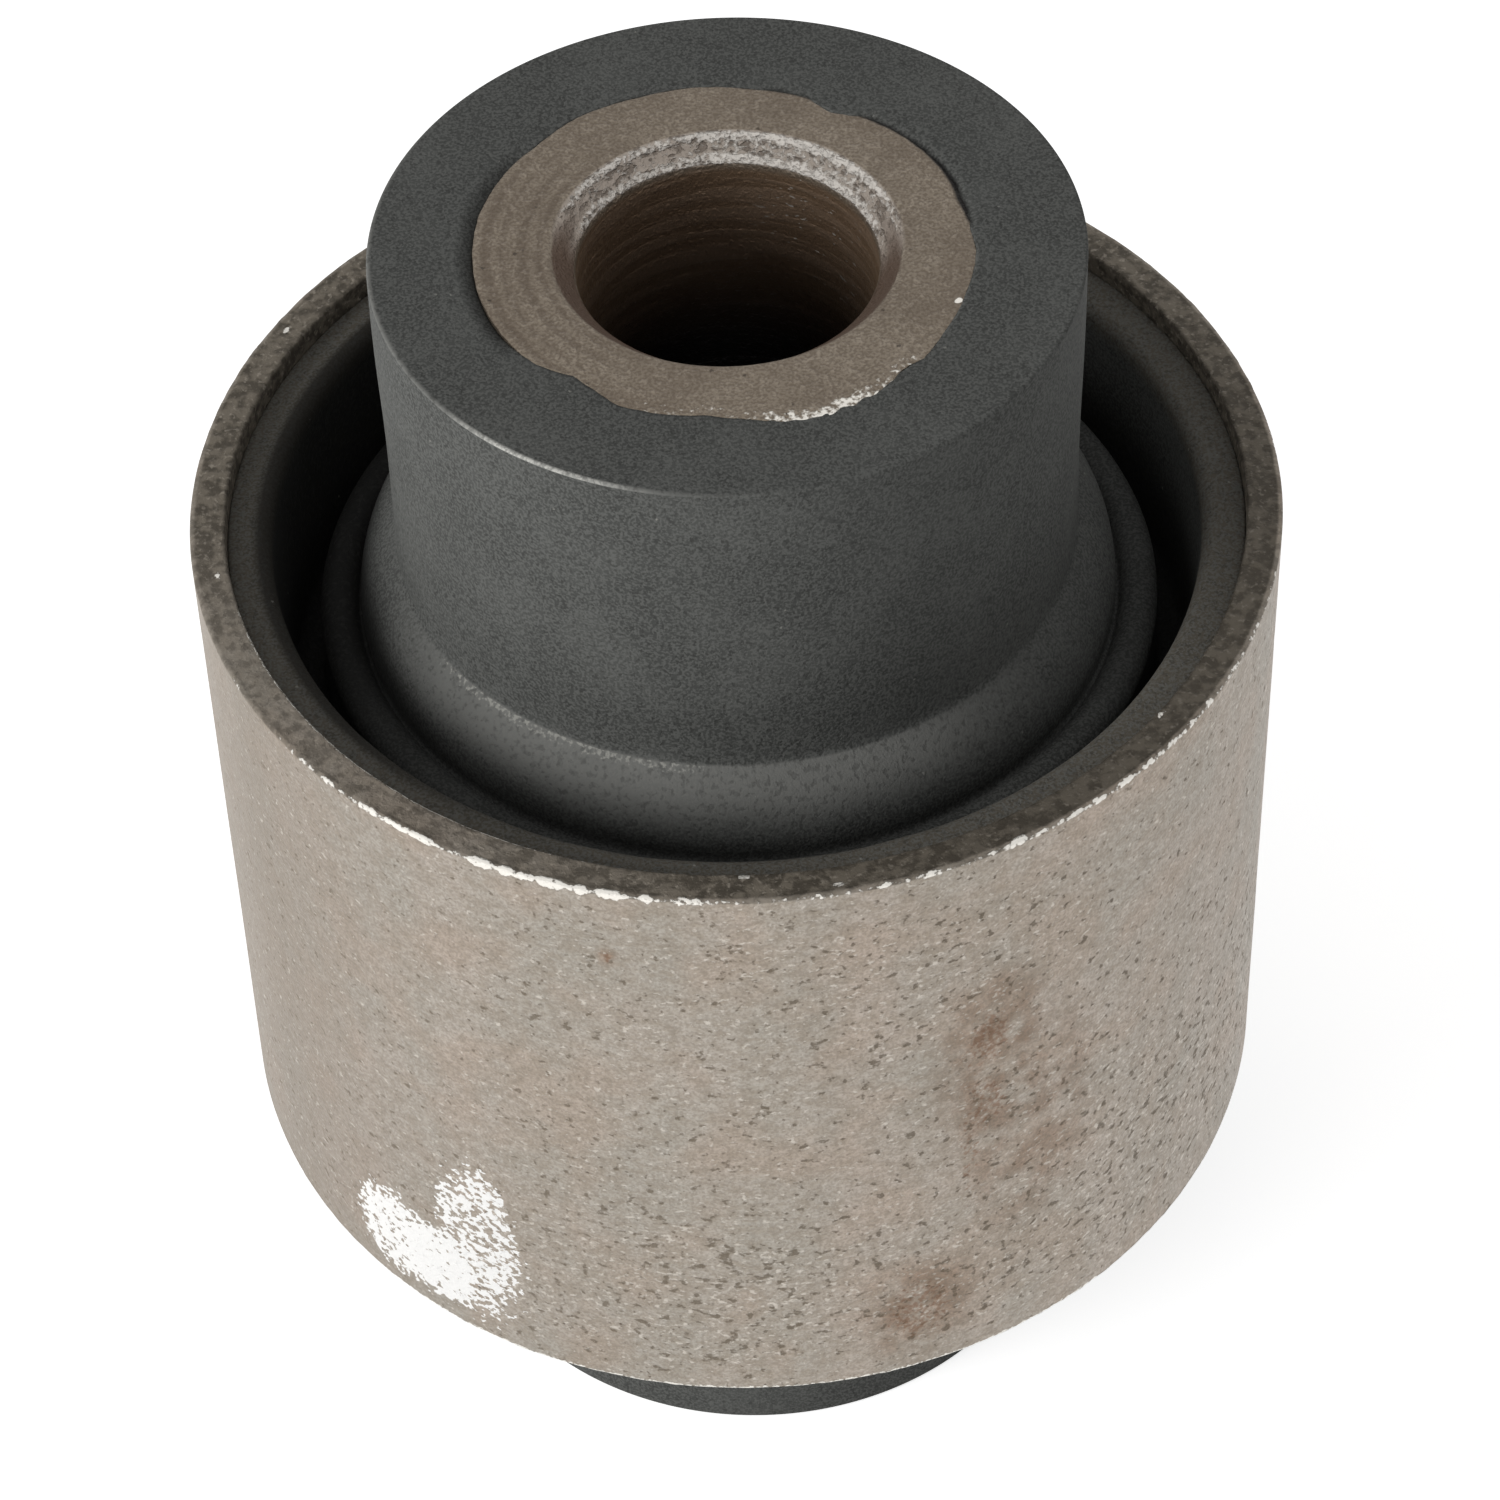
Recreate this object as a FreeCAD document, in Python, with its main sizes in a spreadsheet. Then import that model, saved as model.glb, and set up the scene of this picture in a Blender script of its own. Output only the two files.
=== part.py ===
"""Rubber metal bush: a suspension or machine mount made of three pieces.

A plain steel sleeve is pressed into a housing, a thick steel tube takes the bolt, and a rubber body is
moulded and bonded between them. The rubber carries on past the sleeve at both ends as a boss round the
tube, and an annular channel beside the foot of each boss lets the tube tilt and twist in the sleeve.

Frame: millimetres, origin at the middle of the bush on its axis, +Z along the axis and up.
"""

import FreeCAD, Part
import math
import os

import Sketcher

# Driving sizes. Every other length in the bush follows from these.
SIZES = {
    # Steel tube in the middle
    "bush_length": 58.5,
    "bore_dia": 12.0,
    "tube_wall": 4.0,
    "bore_chamfer": 1.0,
    # Steel sleeve on the outside
    "sleeve_length": 31.5,
    "sleeve_outer_dia": 45.0,
    "sleeve_wall": 1.5,
    # Rubber boss round the tube
    "rubber_face_inset": 0.05,
    "boss_end_dia": 28.4,
    "boss_foot_dia": 28.1,
    # Annular channel, measured down from the rim of the sleeve and out from the foot of the boss
    "foot_depth": 1.2,
    "roll_width": 1.65,
    "roll_fall": 4.0,
    "roll_bulge": 0.7,
    "bead_width": 1.8,
    "bead_slope_width": 0.45,
    "bead_height": 0.65,
    "channel_depth": 10.0,
    "floor_width": 1.2,
    # Rubber skin and lip inside the sleeve
    "lip_depth": 1.0,
    "lip_thickness": 1.75,
    "skin_foot_thickness": 2.2,
    "lip_edge_bevel": 0.4,
}

# Height above the rim up to which the channel's cutting outline runs, so that the channel opens freely.
CLEAR_ABOVE_RIM = 1.0
# Largest distance at which an edge still counts as the one that is looked for.
EDGE_TOLERANCE = 1e-4

doc = FreeCAD.newDocument("rubber_metal_bush")
sheet = doc.addObject("Spreadsheet::Sheet", "sizes")
for row, (alias, number) in enumerate(SIZES.items(), start=1):
    sheet.set(f"A{row}", alias)
    sheet.set(f"B{row}", str(number))
    sheet.setAlias(f"B{row}", alias)
doc.recompute()


class Length:
    """A length with its present value and the formula that ties it to the sheet."""

    def __init__(self, value, formula):
        self.value = value
        self.formula = formula

    def __add__(self, other):
        return Length(self.value + other.value, f"({self.formula} + {other.formula})")

    def __sub__(self, other):
        return Length(self.value - other.value, f"({self.formula} - {other.formula})")

    def __mul__(self, factor):
        return Length(self.value * factor, f"({self.formula} * {factor})")

    def __truediv__(self, divisor):
        return Length(self.value / divisor, f"({self.formula} / {divisor})")


def size(alias):
    """One driving size, read from the sheet."""
    return Length(float(sheet.get(alias)), f"sizes.{alias}")


ZERO = Length(0.0, "0")
BORE_RADIUS = size("bore_dia") / 2
TUBE_RADIUS = BORE_RADIUS + size("tube_wall")
SLEEVE_RADIUS = size("sleeve_outer_dia") / 2
SLEEVE_BORE_RADIUS = SLEEVE_RADIUS - size("sleeve_wall")
RIM_HEIGHT = size("sleeve_length") / 2
END_FACE_HEIGHT = size("bush_length") / 2 - size("rubber_face_inset")
BOSS_END_RADIUS = size("boss_end_dia") / 2
BOSS_FOOT_RADIUS = size("boss_foot_dia") / 2
FOOT_HEIGHT = RIM_HEIGHT - size("foot_depth")
LIP_HEIGHT = RIM_HEIGHT - size("lip_depth")
LIP_RADIUS = SLEEVE_BORE_RADIUS - size("lip_thickness")


def origin_feature(body, role):
    """The plane or axis of the body's own origin that has this role."""
    return next(item for item in body.Origin.OriginFeatures if item.Role == role)


def new_body(label):
    """A sub-part: a body with its own label and its place in the bush's frame."""
    body = doc.addObject("PartDesign::Body", label)
    body.Label = label
    body.Placement = FreeCAD.Placement()
    return body


def new_sketch(body, name, plane):
    """An empty sketch on one of the body's origin planes."""
    sketch = body.newObject("Sketcher::SketchObject", name)
    sketch.AttachmentSupport = [(origin_feature(body, plane), "")]
    sketch.MapMode = "FlatFace"
    return sketch


def tie(sketch, name, constraint, length):
    """Adds a dimension and binds it to its formula."""
    index = sketch.addConstraint(constraint)
    sketch.renameConstraint(index, name)
    sketch.setExpression(f"Constraints.{name}", length.formula)


def draw_ring(sketch, outer, inner):
    """Two circles round the axis, given by their radii."""
    centre = FreeCAD.Vector(0, 0, 0)
    upwards = FreeCAD.Vector(0, 0, 1)
    for name, radius in (("outer_radius", outer), ("inner_radius", inner)):
        circle = sketch.addGeometry(Part.Circle(centre, upwards, radius.value))
        sketch.addConstraint(Sketcher.Constraint("Coincident", circle, 3, -1, 1))
        tie(sketch, name, Sketcher.Constraint("Radius", circle, radius.value), radius)


def bulge_radius(start, end, bulge):
    """Radius of the arc that joins two corners and stands out from their chord by its bulge."""
    across = end[0] - start[0]
    fall = end[1] - start[1]
    chord_square = across.value**2 + fall.value**2
    value = (chord_square / 4 + bulge.value**2) / (2 * bulge.value)
    formula = (f"((({across.formula})^2 + ({fall.formula})^2) / 4 + {bulge.formula}^2)"
               f" / (2 * {bulge.formula})")
    return Length(value, formula)


def point(corner):
    """A corner's present place in the sketch: distance from the axis, then height."""
    return FreeCAD.Vector(corner[0].value, corner[1].value, 0)


def arc_between(start, end, bulge):
    """An arc from start to end, whose crown stands out to the left of that way by the bulge."""
    way = point(end) - point(start)
    left = FreeCAD.Vector(-way.y, way.x, 0).normalize()
    crown = (point(start) + point(end)) / 2 + left * bulge.value
    return Part.Arc(point(start), crown, point(end))


def draw_stretch(sketch, name, start, end, bulges):
    """One stretch of an outline. Returns its geometry number and which of its points come first and last."""
    if name not in bulges:
        return sketch.addGeometry(Part.LineSegment(point(start), point(end))), 1, 2
    # This arc runs clockwise and is stored anticlockwise, so its ends are swapped.
    geometry = sketch.addGeometry(arc_between(start, end, bulges[name]))
    radius = bulge_radius(start, end, bulges[name])
    tie(sketch, f"{name}_arc", Sketcher.Constraint("Radius", geometry, radius.value), radius)
    return geometry, 2, 1


def draw_outline(sketch, corners, bulges):
    """A closed outline through named corners, in the order given.

    corners: name -> (distance from the axis, height), both tied to the sheet.
    bulges: name of the corner where an arc starts -> how far the arc stands out from its chord.
    Every other stretch is a straight line.
    """
    names = list(corners)
    followers = names[1:] + names[:1]
    stretches = [draw_stretch(sketch, name, corners[name], corners[follower], bulges)
                 for name, follower in zip(names, followers)]
    for name, (geometry, first, _) in zip(names, stretches):
        away, height = corners[name]
        tie(sketch, f"{name}_away",
            Sketcher.Constraint("DistanceX", -1, 1, geometry, first, away.value), away)
        tie(sketch, f"{name}_height",
            Sketcher.Constraint("DistanceY", -1, 1, geometry, first, height.value), height)
    for (geometry, _, last), (next_geometry, next_first, _) in zip(stretches, stretches[1:] + stretches[:1]):
        sketch.addConstraint(Sketcher.Constraint("Coincident", geometry, last, next_geometry, next_first))


def ring_edges(feature, radius, height):
    """Names of the circular edges of a feature that have this radius and lie at this height."""
    names = []
    for number, edge in enumerate(feature.Shape.Edges, start=1):
        curve = edge.Curve
        if not isinstance(curve, Part.Circle):
            continue
        same_radius = abs(curve.Radius - radius.value) < EDGE_TOLERANCE
        same_height = abs(curve.Center.z - height.value) < EDGE_TOLERANCE
        if same_radius and same_height:
            names.append(f"Edge{number}")
    if not names:
        raise RuntimeError(f"{feature.Label} has no ring edge at radius {radius.value}")
    return names


def bevel_edges(body, name, base, edges, breadth):
    """A 45 degree bevel on ring edges of the base feature."""
    bevel = body.newObject("PartDesign::Chamfer", name)
    bevel.Base = (base, edges)
    bevel.setExpression("Size", breadth.formula)
    doc.recompute()
    return bevel


def pad_tube(body, outer, inner, length):
    """A tube centred on the origin, padded both ways from a ring."""
    sketch = new_sketch(body, f"{body.Label}_ring", "XY_Plane")
    draw_ring(sketch, outer, inner)
    pad = body.newObject("PartDesign::Pad", f"{body.Label}_pad")
    pad.Profile = sketch
    pad.SideType = "Symmetric"
    pad.setExpression("Length", length.formula)
    doc.recompute()
    return pad


def make_inner_tube():
    """Thick steel tube for the bolt: cut square, with its bore bevelled at both ends."""
    body = new_body("inner_tube")
    length = size("bush_length")
    tube = pad_tube(body, TUBE_RADIUS, BORE_RADIUS, length)
    upper_edge = ring_edges(tube, BORE_RADIUS, length / 2)
    lower_edge = ring_edges(tube, BORE_RADIUS, ZERO - length / 2)
    bevel_edges(body, "bore_bevels", tube, upper_edge + lower_edge, size("bore_chamfer"))
    return body


def make_outer_sleeve():
    """Thin steel sleeve that is pressed into the housing: cut square from tube, its edges left raw."""
    body = new_body("outer_sleeve")
    pad_tube(body, SLEEVE_RADIUS, SLEEVE_BORE_RADIUS, size("sleeve_length"))
    return body


def revolve(body, kind, name, sketch):
    """Turns a sketch once round the axis, adding with a Revolution and cutting with a Groove."""
    feature = body.newObject(f"PartDesign::{kind}", name)
    feature.Profile = sketch
    feature.ReferenceAxis = (sketch, ["V_Axis"])
    feature.Angle = 360
    doc.recompute()
    return feature


def boss_and_ring_corners():
    """Upper half of the rubber before its channel: the ring in the sleeve, with the boss on it."""
    return {
        "tube_middle": (TUBE_RADIUS, ZERO),
        "sleeve_middle": (SLEEVE_BORE_RADIUS, ZERO),
        "lip_outside": (SLEEVE_BORE_RADIUS, LIP_HEIGHT),
        "lip_inside": (LIP_RADIUS, LIP_HEIGHT),
        "boss_foot": (BOSS_FOOT_RADIUS, FOOT_HEIGHT),
        "boss_edge": (BOSS_END_RADIUS, END_FACE_HEIGHT),
        "tube_end": (TUBE_RADIUS, END_FACE_HEIGHT),
    }


def channel_corners():
    """Section of the channel: foot roll, valley, bead, deep slot with a narrow floor, wall of the skin."""
    above = RIM_HEIGHT + Length(CLEAR_ABOVE_RIM, str(CLEAR_ABOVE_RIM))
    floor_height = RIM_HEIGHT - size("channel_depth")
    wall_foot = SLEEVE_BORE_RADIUS - size("skin_foot_thickness")
    valley_radius = BOSS_FOOT_RADIUS + size("roll_width")
    valley_height = FOOT_HEIGHT - size("roll_fall")
    bead_radius = valley_radius + size("bead_width")
    crown_height = valley_height + size("bead_height")
    return {
        "mouth": (LIP_RADIUS, above),
        "foot_crease": (BOSS_FOOT_RADIUS, FOOT_HEIGHT),
        "roll_valley": (valley_radius, valley_height),
        "bead_crown_inside": (valley_radius + size("bead_slope_width"), crown_height),
        "bead_crown_outside": (bead_radius - size("bead_slope_width"), crown_height),
        "bead_outside": (bead_radius, valley_height),
        "floor_inside": (wall_foot - size("floor_width"), floor_height),
        "floor_outside": (wall_foot, floor_height),
        "lip_edge": (LIP_RADIUS, LIP_HEIGHT),
    }


def make_rubber_body():
    """Moulded rubber: the upper half is turned and its channel cut, then the whole is mirrored."""
    body = new_body("rubber_body")
    section = new_sketch(body, "boss_and_ring_section", "XZ_Plane")
    draw_outline(section, boss_and_ring_corners(), bulges={})
    blank = revolve(body, "Revolution", "boss_and_ring", section)

    outline = new_sketch(body, "channel_section", "XZ_Plane")
    draw_outline(outline, channel_corners(), bulges={"foot_crease": size("roll_bulge")})
    channel = revolve(body, "Groove", "channel", outline)
    if channel.Shape.Volume >= blank.Shape.Volume:
        raise RuntimeError("the channel takes nothing away")

    upper_half = bevel_edges(body, "lip_edge_bevel", channel,
                             ring_edges(channel, LIP_RADIUS, LIP_HEIGHT), size("lip_edge_bevel"))

    lower_half = body.newObject("PartDesign::Mirrored", "lower_half")
    lower_half.TransformMode = "Whole shape"
    lower_half.MirrorPlane = (origin_feature(body, "XY_Plane"), [""])
    body.Tip = lower_half
    doc.recompute()
    if not math.isclose(body.Shape.Volume, 2 * upper_half.Shape.Volume, rel_tol=1e-6):
        raise RuntimeError("the lower half isn't the mirror of the upper one")
    return body


def check(sub_parts):
    """Stops the script if any object failed or any sub-part isn't one valid solid."""
    for item in doc.Objects:
        if "Invalid" in item.State or "Error" in item.State:
            raise RuntimeError(f"{item.Label} failed: {item.State}")
    for part in sub_parts:
        if part.Shape.isNull() or not part.Shape.isValid() or len(part.Shape.Solids) != 1:
            raise RuntimeError(f"{part.Label} isn't one valid solid")


sub_parts = [make_inner_tube(), make_outer_sleeve(), make_rubber_body()]
doc.recompute()
check(sub_parts)

os.makedirs("parts", exist_ok=True)
for part in sub_parts:
    part.Shape.exportStep(f"parts/{part.Label}.step")
    print(f"{part.Label}: {part.Shape.Volume / 1000:.2f} cm3")
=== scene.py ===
"""Looks of the rubber metal bush: inner tube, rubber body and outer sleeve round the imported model."""
import logging
from dataclasses import dataclass
from enum import Enum, auto
from typing import Any

import bpy
import numpy as np
from mathutils import Matrix, Vector


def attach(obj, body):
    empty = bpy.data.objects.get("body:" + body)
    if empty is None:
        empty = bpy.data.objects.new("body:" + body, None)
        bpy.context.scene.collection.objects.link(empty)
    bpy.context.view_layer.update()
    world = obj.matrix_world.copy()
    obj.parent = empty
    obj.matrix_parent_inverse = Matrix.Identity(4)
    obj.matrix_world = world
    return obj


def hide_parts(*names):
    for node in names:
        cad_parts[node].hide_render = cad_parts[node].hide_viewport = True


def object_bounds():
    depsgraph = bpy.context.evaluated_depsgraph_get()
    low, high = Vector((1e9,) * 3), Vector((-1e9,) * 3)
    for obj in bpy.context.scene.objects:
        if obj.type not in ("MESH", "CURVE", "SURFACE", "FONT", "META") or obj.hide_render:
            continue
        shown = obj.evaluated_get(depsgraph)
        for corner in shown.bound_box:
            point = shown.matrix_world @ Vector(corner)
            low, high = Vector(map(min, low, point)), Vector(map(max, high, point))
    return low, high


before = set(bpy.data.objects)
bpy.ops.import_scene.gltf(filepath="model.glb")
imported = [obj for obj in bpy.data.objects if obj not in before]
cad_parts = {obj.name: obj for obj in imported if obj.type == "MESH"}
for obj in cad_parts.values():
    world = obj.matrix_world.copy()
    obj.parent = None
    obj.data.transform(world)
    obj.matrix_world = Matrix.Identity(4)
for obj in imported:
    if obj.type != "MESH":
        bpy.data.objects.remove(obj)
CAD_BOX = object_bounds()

LOG = logging.getLogger("rubber_metal_bush")
MM = 0.001
BODY = "root"
PATTERN_SHIFT = 0.05
HALF_TURN = 180.0
FULL_TURN = 360.0
Socket = bpy.types.NodeSocket


class Zone(Enum):
    """A named stretch of a piece's section."""

    OUTSIDE = auto()
    OUTER_EDGE = auto()
    RIM = auto()
    FACE = auto()
    INNER_EDGE = auto()
    CHAMFER = auto()
    BORE = auto()
    BACK = auto()
    LIP = auto()
    SKIN = auto()
    FLOOR = auto()
    FLANK = auto()
    BEAD = auto()
    VALLEY = auto()
    ROLL = auto()
    CREASE = auto()
    BOSS = auto()
    SHOULDER = auto()
    BOSS_EDGE = auto()
    JOIN = auto()
    TUCK = auto()


class End(Enum):
    """One end of the bush: the side of the middle it lies on, and how far its wear is turned, in degrees."""

    UPPER = (1, 0.0)
    LOWER = (-1, 140.0)

    @property
    def side(self) -> int:
        """1 above the middle and -1 below it."""
        return self.value[0]

    @property
    def turned(self) -> float:
        """Degrees by which this end's wear is turned round the axis."""
        return self.value[1]


class Mask(Enum):
    """A vertex attribute that tells a finish where a kind of wear, or a painted light or shade, lies."""

    # Bare metal, drawn near-white so that it also paints the glint of torn edges and chips.
    BARE = "bare_metal"
    GRIME = "grime"
    RUST = "rust"
    RUST_FLECKS = "rust_flecks"
    FLECKS = "flecks"
    # A near-white ragged patch low on the wall's front-left.
    SCUFF = "pale_scuff"
    FILM = "brown_film"
    # Bloom on the rubber's roll, and a painted highlight along the boss's edge.
    DUST = "dust"
    BLOOM = "bloom"
    # Painted shade in the rubber's channel, on its left side and in its joins with the tube, and in the crack
    # at the tube's edge; on the sleeve it darkens a stretch of rim.
    DARK = "darkness"
    RINGS = "turning_rings"
    GRANULES = "granules"
    SPARKS = "sparks"
    # Depth down the bore; it also lays painted shade deeper down.
    DEPTH = "depth_in_bore"


class Blend(Enum):
    """What a stack of layers mixes: the Mix node's data type and its sockets for under, over and result."""

    VALUE = ("FLOAT", 2, 3, 0)
    COLOUR = ("RGBA", 6, 7, 2)


def ease(share: np.ndarray) -> np.ndarray:
    """Smooth step: 3 s squared minus 2 s cubed, with s held between 0 and 1."""
    held = np.clip(share, 0.0, 1.0)
    return held * held * (3.0 - 2.0 * held)


def rise(values: np.ndarray, start: np.ndarray | float, full: np.ndarray | float) -> np.ndarray:
    """0 where the values are at start and 1 where they are at full, with a smooth step between."""
    return ease((values - start) / (full - start))


def turned_from(degrees: np.ndarray, middle: float) -> np.ndarray:
    """Degrees from the middle angle, at most half a turn either way."""
    return (degrees - middle + HALF_TURN) % FULL_TURN - HALF_TURN


@dataclass(frozen=True)
class Stretch:
    """A stretch round the axis: start, stop and width of its soft ends in degrees, and its strength."""

    start: float
    stop: float
    soft: float
    strength: float = 1.0

    def cover(self, degrees: np.ndarray) -> np.ndarray:
        """Marks the angles in the stretch, also across the half turn.

        Formula: a smooth step down, as wide as soft, on the angle's distance from the middle of the stretch.

        Args:
            degrees: angles round the axis.

        Returns:
            The strength inside, 0 outside.
        """
        away = np.abs(turned_from(degrees, (self.start + self.stop) / 2.0))
        return self.strength * ease(((self.stop - self.start) / 2.0 - away) / self.soft + 0.5)


@dataclass(frozen=True)
class Ripple:
    """Random relief: first seed, lattice cells along the outline and round the axis, number of lattices."""

    seed: int
    along: int
    round_axis: int
    octaves: int = 1

    def values(self, rows: np.ndarray, turns: np.ndarray) -> np.ndarray:
        """Works out relief that closes on itself along the outline and round the axis.

        Formula: random numbers on a lattice, joined by smooth steps both ways. Each further octave has
        twice the cells and half the weight.

        Args:
            rows: share of the way along the outline, as a column.
            turns: share of a turn round the axis, as a row.

        Returns:
            Values from -1 to 1, one for each grid point.
        """
        total = np.zeros(np.broadcast(rows, turns).shape)
        weights = 0.5 ** np.arange(self.octaves)
        for octave, weight in enumerate(weights):
            along = self.along * 2**octave
            round_axis = self.round_axis * 2**octave
            lattice = np.random.default_rng(self.seed + octave).uniform(-1.0, 1.0, (along, round_axis))
            low_row = np.floor(rows * along).astype(int)
            low_turn = np.floor(turns * round_axis).astype(int)
            row_step = ease(rows * along - low_row)
            turn_step = ease(turns * round_axis - low_turn)
            sides = []
            for up in (0, 1):
                near = lattice[(low_row + up) % along, low_turn % round_axis]
                far = lattice[(low_row + up) % along, (low_turn + 1) % round_axis]
                sides.append(near + (far - near) * turn_step)
            total += weight * (sides[0] + (sides[1] - sides[0]) * row_step)
        return total / weights.sum()


class Outline:
    """Half a piece's section, from the middle of its outer wall over its upper end to that of its bore."""

    def __init__(self, radius: float, height: float) -> None:
        """Starts the outline at a radius and a height, in mm."""
        self.points = np.array([[radius, height]])
        self.zones: list[Zone] = []
        self.shares = np.zeros(1)

    def run(self, zone: Zone, radius: float, height: float, rows: int, swell: float = 0.0) -> None:
        """Goes on to a radius and a height, in a line or an arc.

        Formula: points at even angles on the arc through both ends whose middle stands off the chord
        by swell, on the right of the way travelled, which is outside the material.

        Args:
            zone: name of the stretch.
            radius: radius of its end, in mm.
            height: height of its end, in mm.
            rows: grid rows on it, the end counted and the start not.
            swell: how far the arc stands outwards, or inwards below zero, in mm.
        """
        start = self.points[-1]
        chord = np.array([radius, height]) - start
        length = np.hypot(*chord)
        outwards = np.array([chord[1], -chord[0]]) / length
        share = np.arange(1, rows + 1) / rows
        along, across = share, np.zeros(rows)
        if swell:
            half_angle = 2.0 * np.arctan(2.0 * swell / length)
            arc_radius = length / 2.0 / np.sin(half_angle)
            turn = half_angle * (2.0 * share - 1.0)
            along = 0.5 + arc_radius * np.sin(turn) / length
            across = arc_radius * (np.cos(turn) - np.cos(half_angle))
        points = start + along[:, None] * chord + across[:, None] * outwards
        self.points = np.vstack([self.points, points])
        self.zones += [zone] * (rows if self.zones else rows + 1)
        self.shares = np.append(self.shares, share)


class Ring:
    """A closed section carried round the axis as one grid: rows along the section, columns round the axis."""

    def __init__(self, outline: Outline, columns: int) -> None:
        """Mirrors the outline below the middle and carries it round the axis.

        Formula: the section is the outline followed by its mirror image in reverse, and every column
        has the same radii and heights, until a piece changes them.

        Args:
            outline: the half section, which starts and ends at height 0.
            columns: grid columns round the axis.
        """
        mirrored = slice(-2, 0, -1)
        section = np.vstack([outline.points, outline.points[mirrored] * (1.0, -1.0)])
        self.zones = np.array([zone.value for zone in outline.zones + outline.zones[mirrored]])
        self.shares = np.concatenate([outline.shares, outline.shares[mirrored]])[:, None]
        self.sides = np.repeat([1, -1], [len(outline.points), len(section) - len(outline.points)])
        self.radius = np.repeat(section[:, :1], columns, axis=1)
        self.height = np.repeat(section[:, 1:], columns, axis=1)
        self.turns = np.arange(columns)[None, :] / columns
        self.degrees = self.turns * FULL_TURN - HALF_TURN
        self.along = np.arange(len(section))[:, None] / len(section)
        self.masks: dict[Mask, np.ndarray] = {}

    def rows(self, *zones: Zone, end: End | None = None) -> np.ndarray:
        """The grid rows that lie in these zones, at one end or at both."""
        found = np.isin(self.zones, [zone.value for zone in zones])
        return found if end is None else found & (self.sides == end.side)

    def ripple(self, pattern: Ripple) -> np.ndarray:
        """Random relief on this grid, from -1 to 1."""
        return pattern.values(self.along, self.turns)

    def wander(self, pattern: Ripple) -> np.ndarray:
        """Random values from -1 to 1 round the axis, the same on every row."""
        return pattern.values(np.zeros((1, 1)), self.turns)

    def mark(self, mask: Mask, values: np.ndarray | float, rows: np.ndarray | None = None) -> None:
        """Adds wear to a mask, where it is stronger than what is there.

        Args:
            mask: the kind of wear.
            values: how strong it is, from 0 to 1.
            rows: the grid rows it may lie on, or None for all.
        """
        strength = np.broadcast_to(values, self.radius.shape)
        if rows is not None:
            strength = strength * rows[:, None]
        self.masks[mask] = np.maximum(self.masks.get(mask, 0.0), strength)

    def make(self, name: str) -> bpy.types.Object:
        """Turns the grid into a closed mesh with smooth faces that point outwards.

        Formula: x is radius times cosine, y is radius times sine, z is height, and each face joins
        two neighbours round the axis to the same two on the next row.

        Args:
            name: the piece's name.

        Returns:
            The new object, at the origin.
        """
        turn = np.radians(self.degrees)
        points = np.stack([self.radius * np.cos(turn), self.radius * np.sin(turn), self.height], axis=-1) * MM
        here = np.arange(self.radius.size).reshape(self.radius.shape)
        onward = np.roll(here, -1, axis=1)
        faces = np.stack([here, onward, np.roll(onward, -1, axis=0), np.roll(here, -1, axis=0)], axis=-1)
        mesh = bpy.data.meshes.new(name)
        mesh.vertices.add(here.size)
        mesh.vertices.foreach_set("co", points.astype(np.float32).ravel())
        mesh.loops.add(faces.size)
        mesh.loops.foreach_set("vertex_index", faces.astype(np.int32).ravel())
        mesh.polygons.add(here.size)
        mesh.polygons.foreach_set("loop_start", np.arange(0, faces.size, 4, dtype=np.int32))
        mesh.update(calc_edges=True)
        mesh.shade_smooth()
        for mask, values in self.masks.items():
            attribute = mesh.attributes.new(mask.value, "FLOAT", "POINT")
            attribute.data.foreach_set("value", values.astype(np.float32).ravel())
        piece = bpy.data.objects.new(name, mesh)
        bpy.context.scene.collection.objects.link(piece)
        return piece


def linear(hex_colour: str) -> tuple[float, float, float, float]:
    """Turns an sRGB hex colour into the linear colour that a shader takes."""
    channels = np.array([int(hex_colour[i : i + 2], 16) for i in (1, 3, 5)]) / 255.0
    straight = np.where(channels <= 0.04045, channels / 12.92, ((channels + 0.055) / 1.055) ** 2.4)
    return (*(float(channel) for channel in straight), 1.0)


def add(
    tree: bpy.types.NodeTree,
    kind: str,
    settings: dict[str, Any] | None = None,
    inputs: dict[str | int, Any] | None = None,
) -> bpy.types.Node:
    """Adds one node of any kind.

    Args:
        tree: the node tree it goes into.
        kind: Blender's name of the node's type.
        settings: the node's own properties.
        inputs: a socket to link or a value to set, for each input by name or place.

    Returns:
        The new node.
    """
    node = tree.nodes.new(kind)
    for name, value in (settings or {}).items():
        setattr(node, name, value)
    for place, value in (inputs or {}).items():
        if isinstance(value, Socket):
            tree.links.new(value, node.inputs[place])
        else:
            node.inputs[place].default_value = value
    return node


@dataclass(frozen=True)
class Tint:
    """A colour laid over others, as sRGB hex, and how strongly it covers them."""

    colour: str
    strength: float = 1.0


@dataclass(frozen=True)
class Patches:
    """A noise pattern: patch size in mm, noise levels where it starts and is full, detail, flatness."""

    size: float
    low: float = 0.4
    high: float = 0.6
    detail: float = 2.0
    flat: float = 1.0


@dataclass(frozen=True)
class Spots:
    """Scattered ragged spots: distance from spot to spot and radius in mm."""

    spacing: float
    radius: float


@dataclass(frozen=True)
class Crumbs:
    """What a mark breaks up into: crumb size in mm, half its edge in noise levels, and flatness."""

    size: float
    softness: float
    flat: float = 1.0


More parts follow.
